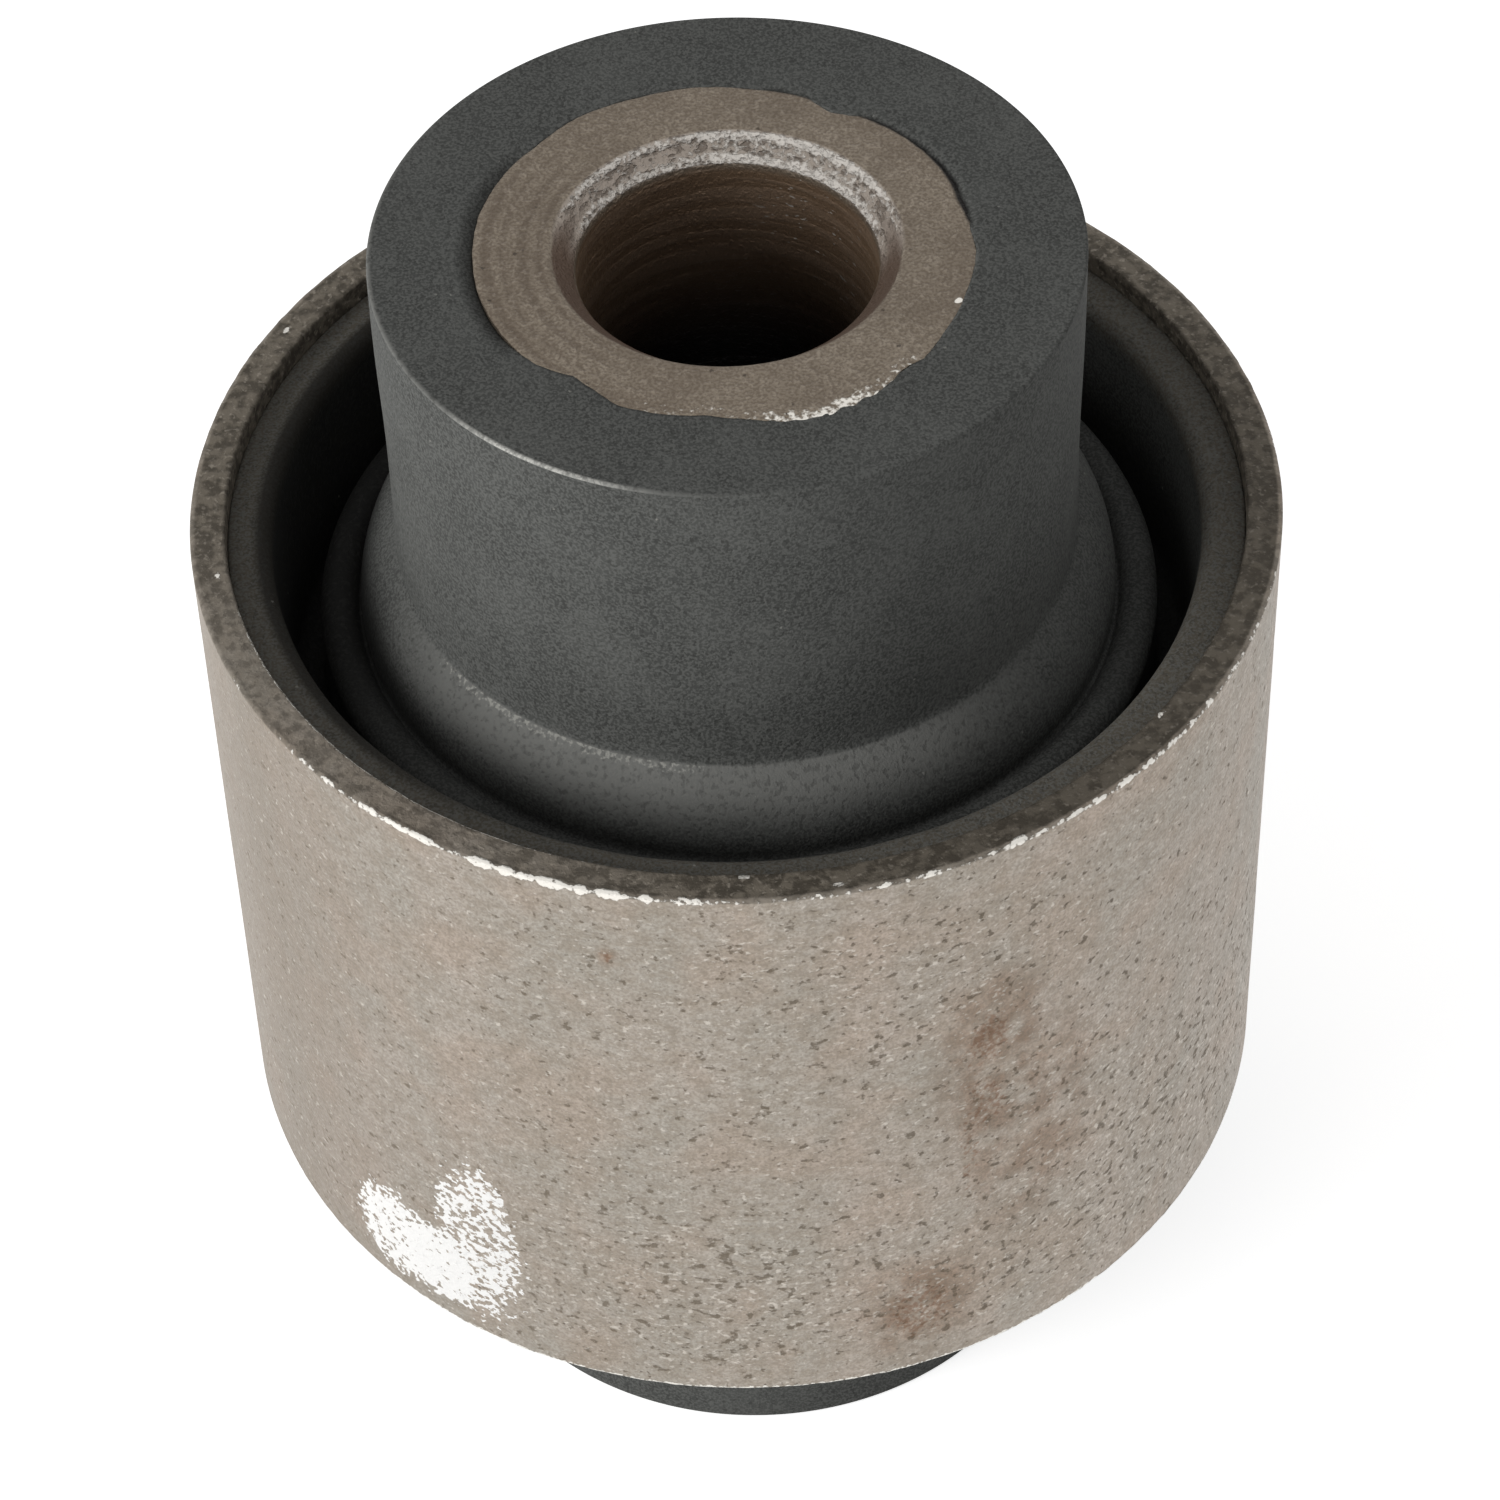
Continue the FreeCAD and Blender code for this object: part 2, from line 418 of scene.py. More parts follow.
class Coating:
    """The nodes of one material: patterns in millimetres on Object coordinates, layers and relief."""

    def __init__(self, name: str) -> None:
        """Starts an empty material."""
        self.material = bpy.data.materials.new(name)
        self.material.use_nodes = True
        self.tree = self.material.node_tree
        self.tree.nodes.clear()
        self.place = add(self.tree, "ShaderNodeTexCoord").outputs["Object"]
        self.patterns = 0

    def mask(self, mask: Mask) -> Socket:
        """How strong a kind of wear is here, from the mesh."""
        return add(self.tree, "ShaderNodeAttribute", {"attribute_name": mask.value}).outputs["Fac"]

    def ramp(self, signal: Socket, low: float, high: float) -> Socket:
        """0 where the signal is at low, 1 where it is at high, with a smooth step between."""
        smooth = {"interpolation_type": "SMOOTHSTEP"}
        limits = {"Value": signal, "From Min": low, "From Max": high}
        return add(self.tree, "ShaderNodeMapRange", smooth, limits).outputs["Result"]

    def ground(self, flat: float) -> Socket:
        """Object coordinates moved on for each pattern, so that no two agree, flat times wider than tall."""
        self.patterns += 1
        shift = self.patterns * PATTERN_SHIFT
        settings = {"Vector": self.place, "Location": (shift, -shift, shift), "Scale": (1.0, 1.0, flat)}
        return add(self.tree, "ShaderNodeMapping", None, settings).outputs["Vector"]

    def noise(self, place: Socket, size: float, detail: float) -> bpy.types.Node:
        """A noise texture whose lumps are size millimetres wide."""
        settings = {"Vector": place, "Scale": 1.0 / (size * MM), "Detail": detail}
        return add(self.tree, "ShaderNodeTexNoise", None, settings)

    def patches(self, pattern: Patches) -> Socket:
        """Irregular patches of noise: 1 on the patches, 0 between them."""
        noise = self.noise(self.ground(pattern.flat), pattern.size, pattern.detail)
        return self.ramp(noise.outputs["Fac"], pattern.low, pattern.high)

    def spots(self, pattern: Spots) -> Socket:
        """Scattered ragged spots.

        Formula: the distance from scattered points, where a finer noise first moves each place by up to
        about a spot's radius.

        Args:
            pattern: their spacing and size.

        Returns:
            1 in the middle of a spot, 0 outside the spots.
        """
        place = self.ground(1.0)
        wander = self.noise(place, pattern.radius / 1.5, 1.0).outputs["Color"]
        reach = (1.3 * pattern.radius * MM,) * 3
        terms = {0: wander, 1: reach, 2: place}
        ragged = add(self.tree, "ShaderNodeVectorMath", {"operation": "MULTIPLY_ADD"}, terms)
        cell_settings = {"Vector": ragged.outputs["Vector"], "Scale": 1.0 / (pattern.spacing * MM)}
        cells = add(self.tree, "ShaderNodeTexVoronoi", None, cell_settings)
        edge = pattern.radius / pattern.spacing
        return self.ramp(cells.outputs["Distance"], edge, 0.4 * edge)

    def crumbled(self, cover: Socket, crumbs: Crumbs) -> Socket:
        """Breaks a soft mark up into crumbs.

        Formula: it shows where the mark and a noise pattern add up to more than one.

        Args:
            cover: the soft mark, which is half covered with crumbs where it is one half.
            crumbs: their size and shape.

        Returns:
            1 on the crumbs, 0 between them.
        """
        noise = self.noise(self.ground(crumbs.flat), crumbs.size, 3.0).outputs["Fac"]
        total = add(self.tree, "ShaderNodeMath", {"operation": "ADD"}, {0: cover, 1: noise}).outputs[0]
        return self.ramp(total, 1.0 - crumbs.softness, 1.0 + crumbs.softness)

    def together(self, first: Socket, second: Socket | float) -> Socket:
        """Strong only where both signals are: their product."""
        return add(self.tree, "ShaderNodeMath", {"operation": "MULTIPLY"}, {0: first, 1: second}).outputs[0]

    def layers(self, blend: Blend, base: Any, *layers: tuple[Socket, Any]) -> Socket:
        """Lays colours or values over each other.

        Args:
            blend: whether colours or values are laid.
            base: the lowest layer.
            layers: where each further layer lies, and its colour or value.

        Returns:
            What shows in the end.
        """
        data_type, under, over, result = blend.value
        shown = base
        for cover, layer in layers:
            sockets = {0: cover, under: shown, over: layer}
            shown = add(self.tree, "ShaderNodeMix", {"data_type": data_type}, sockets).outputs[result]
        return shown

    def tinted(self, base: str, *tints: tuple[Socket, Tint]) -> Socket:
        """Lays tints over a base colour.

        Args:
            base: the lowest colour, as sRGB hex.
            tints: where each tint lies, and the tint.

        Returns:
            The colour that shows in the end.
        """
        colours = []
        for cover, tint in tints:
            share = cover if tint.strength == 1.0 else self.together(cover, tint.strength)
            colours.append((share, linear(tint.colour)))
        return self.layers(Blend.COLOUR, linear(base), *colours)

    def relief(self, *heights: tuple[Socket, float]) -> Socket:
        """Raises the surface, or sinks it below zero.

        Args:
            heights: a signal from 0 to 1 and what it raises the surface by, in mm, for each pattern.

        Returns:
            The bumped normal.
        """
        total: Socket | float = 0.0
        for signal, height in heights:
            terms = {0: signal, 1: height, 2: total}
            total = add(self.tree, "ShaderNodeMath", {"operation": "MULTIPLY_ADD"}, terms).outputs[0]
        return add(self.tree, "ShaderNodeBump", None, {"Height": total, "Distance": MM}).outputs["Normal"]

    def finish(self, **inputs: Any) -> bpy.types.Material:
        """Closes the material with its shader.

        Args:
            inputs: the shader's sockets by name, with _ for a space.

        Returns:
            The material.
        """
        sockets = {name.replace("_", " "): value for name, value in inputs.items()}
        shader = add(self.tree, "ShaderNodeBsdfPrincipled", None, sockets)
        add(self.tree, "ShaderNodeOutputMaterial", None, {"Surface": shader.outputs["BSDF"]})
        return self.material


@dataclass(frozen=True)
class BlastedSteelTube:
    """Low-carbon steel tube, grit-blasted and left bare: a matt warm grey, grainy and pitted, with soft rust.

    Blasting grit leaves marks of a few hundredths of a millimetre. They wouldn't show in the render, so the
    grain is drawn 0.13 mm wide and the flecks 0.3 to 0.4 mm.
    """

    body: str = "#b8aea4"
    cool: Tint = Tint("#a7a49b", 0.4)
    warm: Tint = Tint("#b4a293", 0.5)
    film: Tint = Tint("#8f8375", 0.6)
    rust: Tint = Tint("#a68264", 0.65)
    mottle: Tint = Tint("#8c8070", 0.4)
    grit_shade: Tint = Tint("#8c8070", 0.9)
    grain_shade: Tint = Tint("#7d7469", 0.4)
    # Pale flecks on raised grit, partly painted highlight.
    crest: Tint = Tint("#d8d1c7", 0.6)
    fleck: Tint = Tint("#62543f", 0.65)
    speck: Tint = Tint("#56493b", 0.7)
    rust_fleck: Tint = Tint("#7c5a40", 0.6)
    dirt: Tint = Tint("#7a7266")
    dirt_lump: Tint = Tint("#383229", 0.7)
    dirt_chip: Tint = Tint("#b5ac9f", 0.5)
    # Darkens a stretch of the rim at the right.
    rim_darkening: Tint = Tint("#383229", 0.4)
    # Bare metal with a painted glint.
    bare: Tint = Tint("#eae6de")
    # Near-white ragged patch low on the wall's front-left.
    scuff: Tint = Tint("#fbfaf8")
    metallic: float = 0.85
    fleck_metallic: float = 0.4
    soiled_metallic: float = 0.5
    roughness: float = 0.5
    fleck_roughness: float = 0.62
    soiled_roughness: float = 0.7
    bare_roughness: float = 0.35
    drawing_bands: Patches = Patches(3.4, 0.42, 0.62, detail=1.0, flat=0.04)
    clouds: Patches = Patches(7.0, 0.42, 0.62)
    blush: Patches = Patches(4.0, 0.44, 0.66, detail=3.0)
    grain: Patches = Patches(0.13, 0.36, 0.66, detail=1.0)
    mottles: Patches = Patches(0.7, 0.4, 0.66, detail=5.0, flat=1.4)
    grit: Patches = Patches(0.3, 0.34, 0.66, detail=3.0, flat=1.3)
    specks: Spots = Spots(0.95, 0.09)
    rusting: Patches = Patches(1.3, 0.3, 0.64, detail=6.0)
    rim_lumps: Patches = Patches(0.5, 0.4, 0.62, detail=5.0)
    rim_chips: Patches = Patches(0.24, 0.54, 0.72, detail=3.0)
    flecks: Crumbs = Crumbs(0.42, 0.05, flat=1.2)
    crest_highlights: Crumbs = Crumbs(0.32, 0.06, flat=1.5)
    rust_crumbs: Crumbs = Crumbs(0.24, 0.1)
    pale_patch_crumbs: Crumbs = Crumbs(0.34, 0.03, flat=1.3)
    bare_crumbs: Crumbs = Crumbs(0.2, 0.07)

    def material(self) -> bpy.types.Material:
        """Mixes the steel: bands, clouds, grit, dark flecks and pale flecks that are partly painted
        highlight, rust, rim dirt with a darker stretch, bare edge with a painted glint, and a near-white
        patch.
        """
        coat = Coating("blasted_steel_tube")
        thick = coat.mask(Mask.FLECKS)
        grain = coat.patches(self.grain)
        mottles = coat.patches(self.mottles)
        grit = coat.together(coat.patches(self.grit), thick)
        flecks = coat.crumbled(thick, self.flecks)
        crest_highlights = coat.crumbled(thick, self.crest_highlights)
        specks = coat.spots(self.specks)
        rust = coat.together(coat.patches(self.rusting), coat.mask(Mask.RUST))
        rust_flecks = coat.crumbled(coat.mask(Mask.RUST_FLECKS), self.rust_crumbs)
        scuff = coat.crumbled(coat.mask(Mask.SCUFF), self.pale_patch_crumbs)
        dirt = coat.mask(Mask.GRIME)
        lumps = coat.together(coat.patches(self.rim_lumps), dirt)
        chips = coat.together(coat.patches(self.rim_chips), dirt)
        bare = coat.crumbled(coat.mask(Mask.BARE), self.bare_crumbs)
        colour = coat.tinted(
            self.body,
            (coat.patches(self.drawing_bands), self.cool),
            (coat.patches(self.clouds), self.cool),
            (coat.patches(self.blush), self.warm),
            (coat.mask(Mask.FILM), self.film),
            (rust, self.rust),
            (mottles, self.mottle),
            (grit, self.grit_shade),
            (grain, self.grain_shade),
            # pale flecks on raised grit, partly painted highlight
            (crest_highlights, self.crest),
            (flecks, self.fleck),
            (specks, self.speck),
            (rust_flecks, self.rust_fleck),
            (dirt, self.dirt),
            (lumps, self.dirt_lump),
            (chips, self.dirt_chip),
            # darker stretch of rim at the right
            (coat.mask(Mask.DARK), self.rim_darkening),
            # bare metal with a painted glint
            (bare, self.bare),
            (scuff, self.scuff),
        )
        metallic = coat.layers(
            Blend.VALUE,
            self.metallic,
            (flecks, self.fleck_metallic),
            (rust, self.soiled_metallic),
            (dirt, self.soiled_metallic),
            (scuff, 0.0),
        )
        roughness = coat.layers(
            Blend.VALUE,
            self.roughness,
            (flecks, self.fleck_roughness),
            (rust, self.soiled_roughness),
            (dirt, self.soiled_roughness),
            (bare, self.bare_roughness),
        )
        relief = coat.relief(
            (grain, -0.008),
            (grit, -0.035),
            (flecks, -0.02),
            (crest_highlights, 0.015),
            (lumps, -0.03),
            (chips, 0.02),
            (bare, 0.06),
        )
        return coat.finish(Base_Color=colour, Metallic=metallic, Roughness=roughness, Normal=relief)


@dataclass(frozen=True)
class MouldedRubber:
    """Carbon-black natural rubber, compression-moulded: soft dark grey without gloss, finely grained, dusty.

    The mould's grain is finer than the render can show, so it is drawn 0.12 mm wide and the dimples 0.26 mm.
    """

    body: str = "#4f504e"
    cloud: Tint = Tint("#787976", 0.2)
    grime: Tint = Tint("#645e54", 0.8)
    # Pale bloom on the roll, and a painted highlight along the boss's edge.
    bloom: Tint = Tint("#d0cfc9")
    # Painted shade: near-black laid on the rubber where its channel, its left side and its joins with the
    # tube lie in shade.
    dark: Tint = Tint("#141312")
    dimple: Tint = Tint("#373735", 0.4)
    crest: Tint = Tint("#787976", 0.5)
    dust: Tint = Tint("#b3b2ab", 0.7)
    speck: Tint = Tint("#b3b2ab", 0.45)
    specular: float = 0.12
    roughness: float = 0.75
    cloud_roughness: float = 0.8
    dust_roughness: float = 0.9
    clouds: Patches = Patches(4.0, 0.42, 0.64, detail=3.0)
    grain: Patches = Patches(0.12, 0.4, 0.62, detail=1.0)
    dimples: Patches = Patches(0.26, 0.5, 0.66)
    specks: Spots = Spots(1.7, 0.09)
    dust_crumbs: Crumbs = Crumbs(0.16, 0.1)

    def material(self) -> bpy.types.Material:
        """Mixes the rubber: clouds, mould grain and dimples, bloom with a painted highlight on the boss's
        edge, pale specks, dust, grime and painted shade.
        """
        coat = Coating("moulded_rubber")
        clouds = coat.patches(self.clouds)
        grain = coat.patches(self.grain)
        dimples = coat.patches(self.dimples)
        specks = coat.spots(self.specks)
        dust = coat.crumbled(coat.mask(Mask.DUST), self.dust_crumbs)
        dark = coat.mask(Mask.DARK)
        colour = coat.tinted(
            self.body,
            (clouds, self.cloud),
            # bloom on the roll and a painted highlight on the boss's edge
            (coat.mask(Mask.GRIME), self.grime),
            (coat.mask(Mask.BLOOM), self.bloom),
            # painted shade in the channel, on the left side and in the joins
            (dark, self.dark),
            (dimples, self.dimple),
            (coat.together(grain, coat.ramp(dark, 1.0, 0.0)), self.crest),
            (dust, self.dust),
            (specks, self.speck),
        )
        roughness = coat.layers(
            Blend.VALUE, self.roughness, (clouds, self.cloud_roughness), (dust, self.dust_roughness)
        )
        relief = coat.relief((grain, 0.006), (dimples, -0.012), (specks, 0.02))
        return coat.finish(
            Base_Color=colour, Roughness=roughness, Specular_IOR_Level=self.specular, Normal=relief
        )


@dataclass(frozen=True)
class TurnedSteel:
    """Thick steel tube, faced and chamfered on a lathe, gone brown in store: bare only on its torn edges.

    The face's grain is finer than the render can show, so it is drawn 0.13 mm wide and its lumps 0.28 mm.
    """

    body: str = "#83786a"
    cloud: Tint = Tint("#5f5347", 0.35)
    turned: Tint = Tint("#5f5347", 0.6)
    lump: Tint = Tint("#b5aa9b", 0.24)
    grain_shade: Tint = Tint("#5f5347", 0.5)
    pit: Tint = Tint("#3d342c", 0.8)
    chamfer: Tint = Tint("#5b4a3e")
    bore: Tint = Tint("#78634f")
    bore_ring: Tint = Tint("#9a8572", 0.4)
    spark: Tint = Tint("#e0dbd4", 0.7)
    # Painted shade: near-black laid deeper in the bore.
    painted_bore_shade: Tint = Tint("#080606")
    torn: Tint = Tint("#aaa096", 0.9)
    crevice: Tint = Tint("#554a40", 0.65)
    granule: Tint = Tint("#e0dbd4", 0.8)
    # Bare metal with a painted glint.
    bare: Tint = Tint("#e6e2da", 0.9)
    # Painted shade in the crack between the tube's edge and the rubber.
    dark: Tint = Tint("#171412")
    metallic: float = 0.7
    bore_metallic: float = 0.6
    granule_metallic: float = 0.5
    roughness: float = 0.5
    grain_roughness: float = 0.6
    bare_roughness: float = 0.3
    clouds: Patches = Patches(3.0, 0.42, 0.64, detail=3.0)
    grain: Patches = Patches(0.13, 0.38, 0.64, detail=1.0)
    lumps: Patches = Patches(0.28, 0.48, 0.68)
    crevices: Patches = Patches(0.4, 0.5, 0.62, detail=3.0, flat=2.0)
    pits: Spots = Spots(1.2, 0.12)
    bore_rings: Patches = Patches(7.0, 0.44, 0.6, detail=2.0, flat=14.0)
    sparks: Patches = Patches(0.5, 0.65, 0.72, flat=2.5)
    granules: Crumbs = Crumbs(0.2, 0.12, flat=1.4)
    bare_crumbs: Crumbs = Crumbs(0.22, 0.1)

    def material(self) -> bpy.types.Material:
        """Mixes the steel: brown oxide, grain, the chamfer's granules, bare edges with a painted glint,
        bore's rings, painted shade deeper in the bore, and painted shade in the crack.
        """
        coat = Coating("turned_steel")
        depth = coat.mask(Mask.DEPTH)
        in_bore = coat.ramp(depth, 0.0, 0.04)
        turned = coat.mask(Mask.RINGS)
        grain = coat.patches(self.grain)
        lumps = coat.patches(self.lumps)
        rings = coat.together(coat.patches(self.bore_rings), in_bore)
        sparks = coat.together(coat.patches(self.sparks), coat.mask(Mask.SPARKS))
        torn = coat.ramp(coat.mask(Mask.GRANULES), 0.02, 0.42)
        crevices = coat.together(coat.patches(self.crevices), torn)
        granules = coat.crumbled(coat.mask(Mask.GRANULES), self.granules)
        bare = coat.crumbled(coat.mask(Mask.BARE), self.bare_crumbs)
        colour = coat.tinted(
            self.body,
            (coat.patches(self.clouds), self.cloud),
            (turned, self.turned),
            (lumps, self.lump),
            (grain, self.grain_shade),
            (coat.spots(self.pits), self.pit),
            (coat.mask(Mask.GRIME), self.chamfer),
            (in_bore, self.bore),
            (rings, self.bore_ring),
            (sparks, self.spark),
            # painted shade deeper in the bore
            (coat.ramp(depth, 0.1, 0.85), self.painted_bore_shade),
            (torn, self.torn),
            (crevices, self.crevice),
            (granules, self.granule),
            (bare, self.bare),
            # painted shade in the crack beside the edge
            (coat.mask(Mask.DARK), self.dark),
        )
        metallic = coat.layers(
            Blend.VALUE,
            self.metallic,
            (in_bore, self.bore_metallic),
            (granules, self.granule_metallic),
            (bare, 1.0),
        )
        roughness = coat.layers(
            Blend.VALUE, self.roughness, (grain, self.grain_roughness), (bare, self.bare_roughness)
        )
        relief = coat.relief(
            (grain, -0.01),
            (lumps, 0.02),
            (turned, -0.02),
            (rings, 0.02),
            (crevices, -0.06),
            (granules, 0.05),
            (bare, 0.05),
        )
        return coat.finish(Base_Color=colour, Metallic=metallic, Roughness=roughness, Normal=relief)


@dataclass(frozen=True)
class Stain:
    """A soft oval mark on a wall: middle and half widths, in degrees round the axis and in mm of height."""

    mask: Mask
    degrees: float
    height: float
    wide: float
    tall: float
    strength: float = 1.0

    def spread(self, degrees: np.ndarray, height: np.ndarray) -> np.ndarray:
        """How strong the mark is at each point.

        Formula: a smooth step down over one half width, centred on the oval, times the strength.

        Args:
            degrees: angles of the points.
            height: their heights, in mm.

        Returns:
            Values from 0 to the strength.
        """
        across = turned_from(degrees, self.degrees) / self.wide
        up = (height - self.height) / self.tall
        return self.strength * rise(np.hypot(across, up), 1.5, 0.5)


@dataclass
class OuterSleeve:
    """Outer steel sleeve, a length of thin tube with a torn burr round its outer edges. Sizes in mm."""

    half_length: float = 15.75
    rim_drop: float = 0.05
    outer_radius: float = 22.46
    inner_radius: float = 21.0
    edge_radius: float = 0.16
    edge_stretch: float = 0.8
    bore_stretch: float = 1.1
    wall_flow: float = 0.01
    dent_depth: float = 0.02
    rim_roughness: float = 0.04
    burr_height: float = 0.1
    burr_reach: float = 0.05
    burr_fade: float = 0.28
    columns: int = 720
    flow: Ripple = Ripple(12, 8, 24, 2)
    dents: Ripple = Ripple(11, 30, 90)
    rim_lumps: Ripple = Ripple(13, 60, 230, 2)
    burr_lumps: Ripple = Ripple(14, 1, 320, 2)
    drifts: Ripple = Ripple(15, 6, 10, 2)
    nicks: Ripple = Ripple(16, 1, 90, 2)
    # Front-left stretch where the rim's dirt is thinned and its inner edge made bright: a painted sheen.
    rim_sheen: Stretch = Stretch(-168.0, -104.0, 30.0)
    # Stretch where the rim and its inner edge are darker.
    dark_rim: Stretch = Stretch(-78.0, 24.0, 40.0)
    filmed: Stretch = Stretch(-210.0, -140.0, 30.0)
    pitted: Stretch = Stretch(-118.0, 60.0, 40.0, 0.55)
    set_down: Stretch = Stretch(-140.0, -46.0, 16.0, 0.6)
    long_burr: Stretch = Stretch(-146.0, -12.0, 12.0, 0.49)
    bright_burr: Stretch = Stretch(-136.0, -96.0, 12.0, 0.18)
    right_burr: Stretch = Stretch(-78.0, -30.0, 12.0, 0.14)
    thick_burr: Stretch = Stretch(-122.0, -96.0, 8.0, 0.13)
    stains: tuple[Stain, ...] = (
        Stain(Mask.RUST, -64.5, 3.0, 6.0, 5.5, 0.9),
        Stain(Mask.RUST, -60.0, -1.5, 7.0, 6.5, 0.7),
        Stain(Mask.RUST, -73.0, -11.6, 6.0, 3.0, 0.9),
        Stain(Mask.RUST, -104.5, 11.9, 1.0, 0.5, 1.0),
        Stain(Mask.RUST, 49.0, -5.5, 10.0, 5.0, 0.55),
        Stain(Mask.RUST, 126.0, 6.0, 9.0, 5.5, 0.5),
        Stain(Mask.RUST_FLECKS, -65.2, 4.6, 2.8, 1.8, 0.5),
        Stain(Mask.RUST_FLECKS, -65.3, 0.6, 2.6, 1.8, 0.48),
        Stain(Mask.RUST_FLECKS, -67.4, -1.0, 1.6, 6.0, 0.4),
        Stain(Mask.RUST_FLECKS, -73.0, -11.7, 4.5, 2.2, 0.48),
        Stain(Mask.RUST_FLECKS, -104.5, 11.9, 0.7, 0.35, 0.6),
        Stain(Mask.RUST_FLECKS, 47.0, -6.5, 4.0, 2.2, 0.46),
        # Near-white patch low on the front-left.
        Stain(Mask.SCUFF, -134.5, -12.1, 7.0, 3.2, 0.61),
        Stain(Mask.SCUFF, -128.5, -12.2, 7.5, 2.9, 0.66),
        Stain(Mask.SCUFF, -122.3, -9.6, 7.0, 6.0, 0.53),
        Stain(Mask.SCUFF, -121.5, -6.9, 4.6, 3.6, 0.52),
    )
    chip_places: tuple[tuple[float, float], ...] = (
        (27.5, 20.9), (-39.0, 21.2), (-62.0, 22.3), (-81.0, 22.0),
        (-90.5, 21.2), (-169.7, 21.5), (150.0, 21.8),
    )

    def outline(self) -> Outline:
        """The half section: outer wall, rounded edge, rim, inner edge and bore."""
        top = self.half_length - self.rim_drop
        swell = 0.3 * self.edge_radius
        outline = Outline(self.outer_radius, 0.0)
        outline.run(Zone.OUTSIDE, self.outer_radius, top - self.edge_stretch, 37)
        outline.run(Zone.OUTSIDE, self.outer_radius, top - self.edge_radius, 6)
        outline.run(Zone.OUTER_EDGE, self.outer_radius - self.edge_radius, top, 4, swell)
        outline.run(Zone.RIM, self.inner_radius + self.edge_radius, top, 12)
        outline.run(Zone.INNER_EDGE, self.inner_radius, top - self.edge_radius, 3, swell)
        outline.run(Zone.BORE, self.inner_radius, self.half_length - self.bore_stretch, 4)
        outline.run(Zone.BACK, self.inner_radius, 0.0, 3)
        return outline

    def shape(self) -> Ring:
        """Carries the section round and roughens it.

        Formula: dents are the peaks of a ripple pushed inwards, the rim is lifted by a fine ripple, and the
        burr lifts the outer edge where the bare stretch is strong.

        Returns:
            The grid, with its masks.
        """
        ring = Ring(self.outline(), self.columns)
        wall = ring.rows(Zone.OUTSIDE)
        pitting = self.pitting(ring)
        dents = rise(ring.ripple(self.dents), 0.4, 0.9)
        bumps = self.wall_flow * ring.ripple(self.flow) - self.dent_depth * dents * pitting
        ring.radius[wall] += bumps[wall]
        rim = ring.rows(Zone.RIM, Zone.OUTER_EDGE, Zone.INNER_EDGE)
        lumps = ring.ripple(self.rim_lumps)
        for end in End:
            here = rim & (ring.sides == end.side)
            ring.height[here] += end.side * (self.rim_roughness * lumps)[here]
            self.burr(ring, end)
            for degrees, radius in self.chip_places:
                chip = Stain(Mask.BARE, degrees + end.turned, radius, 0.8, 0.15, 0.66)
                ring.mark(chip.mask, chip.spread(ring.degrees, ring.radius), here)
        self.soil(ring)
        ring.mark(Mask.FLECKS, 0.29 + 0.1 * pitting, wall)
        for stain in self.stains:
            ring.mark(stain.mask, stain.spread(ring.degrees, ring.height), wall)
        return ring

    def soil(self, ring: Ring) -> None:
        """Marks the dirt of rims, edges and bore, a darker stretch of rim at the right, a painted sheen where
        the rim's dirt is thinned at the front-left, the bare lower edge at the front, and the brown film on
        the wall.

        Args:
            ring: the sleeve's grid.
        """
        # Painted sheen: the rim's dirt is thinned at the front-left.
        sheen = self.rim_sheen.cover(ring.degrees)
        ring.mark(Mask.GRIME, 1.0 - 0.35 * sheen, ring.rows(Zone.RIM))
        ring.mark(Mask.GRIME, 1.0 - 0.6 * sheen, ring.rows(Zone.INNER_EDGE))
        ring.mark(Mask.GRIME, 0.6, ring.rows(Zone.OUTER_EDGE))
        ring.mark(Mask.GRIME, 1.0, ring.rows(Zone.BORE, Zone.BACK))
        # Darker stretch of rim and inner edge at the right.
        ring.mark(Mask.DARK, self.dark_rim.cover(ring.degrees), ring.rows(Zone.RIM, Zone.INNER_EDGE))
        # Painted sheen: the upper inner edge made bright at the front-left.
        ring.mark(Mask.BARE, 0.54 * sheen, ring.rows(Zone.INNER_EDGE, end=End.UPPER))
        foot = rise(self.half_length + ring.height, 0.45, 0.15)
        set_down = self.set_down.cover(ring.degrees) * foot
        ring.mark(Mask.BARE, set_down, ring.rows(Zone.OUTSIDE, Zone.OUTER_EDGE, end=End.LOWER))
        ring.mark(Mask.FILM, self.filmed.cover(ring.degrees), ring.rows(Zone.OUTSIDE))

    def burr(self, ring: Ring, end: End) -> None:
        """Tears one end's outer edge into a chain of bright lumps: bare metal with a painted glint.

        Formula: the way down the wall less the way in over the rim tells how far a point is from the
        corner. The lumps reach as far from it as a ripple round the axis says, and stand up with it.

        Args:
            ring: the sleeve's grid.
            end: which end.
        """
        degrees = ring.degrees - end.turned
        bare = self.bare_edge(degrees, ring)
        lump = ease(0.5 + 0.9 * ring.wander(self.burr_lumps))
        reach = lump * (self.burr_reach + self.thick_burr.cover(degrees))
        below_rim = self.half_length - ring.height * end.side
        from_corner = np.abs(below_rim - (self.outer_radius - ring.radius) - 0.1)
        cover = bare * (0.8 + 0.28 * lump) * rise(from_corner - reach, self.burr_fade, 0.0)
        edge = ring.rows(Zone.OUTER_EDGE, end=end)
        ring.height[edge] += end.side * self.burr_height * (bare * lump)[0]
        ring.mark(Mask.BARE, cover, ring.rows(Zone.OUTSIDE, Zone.OUTER_EDGE, Zone.RIM, end=end))

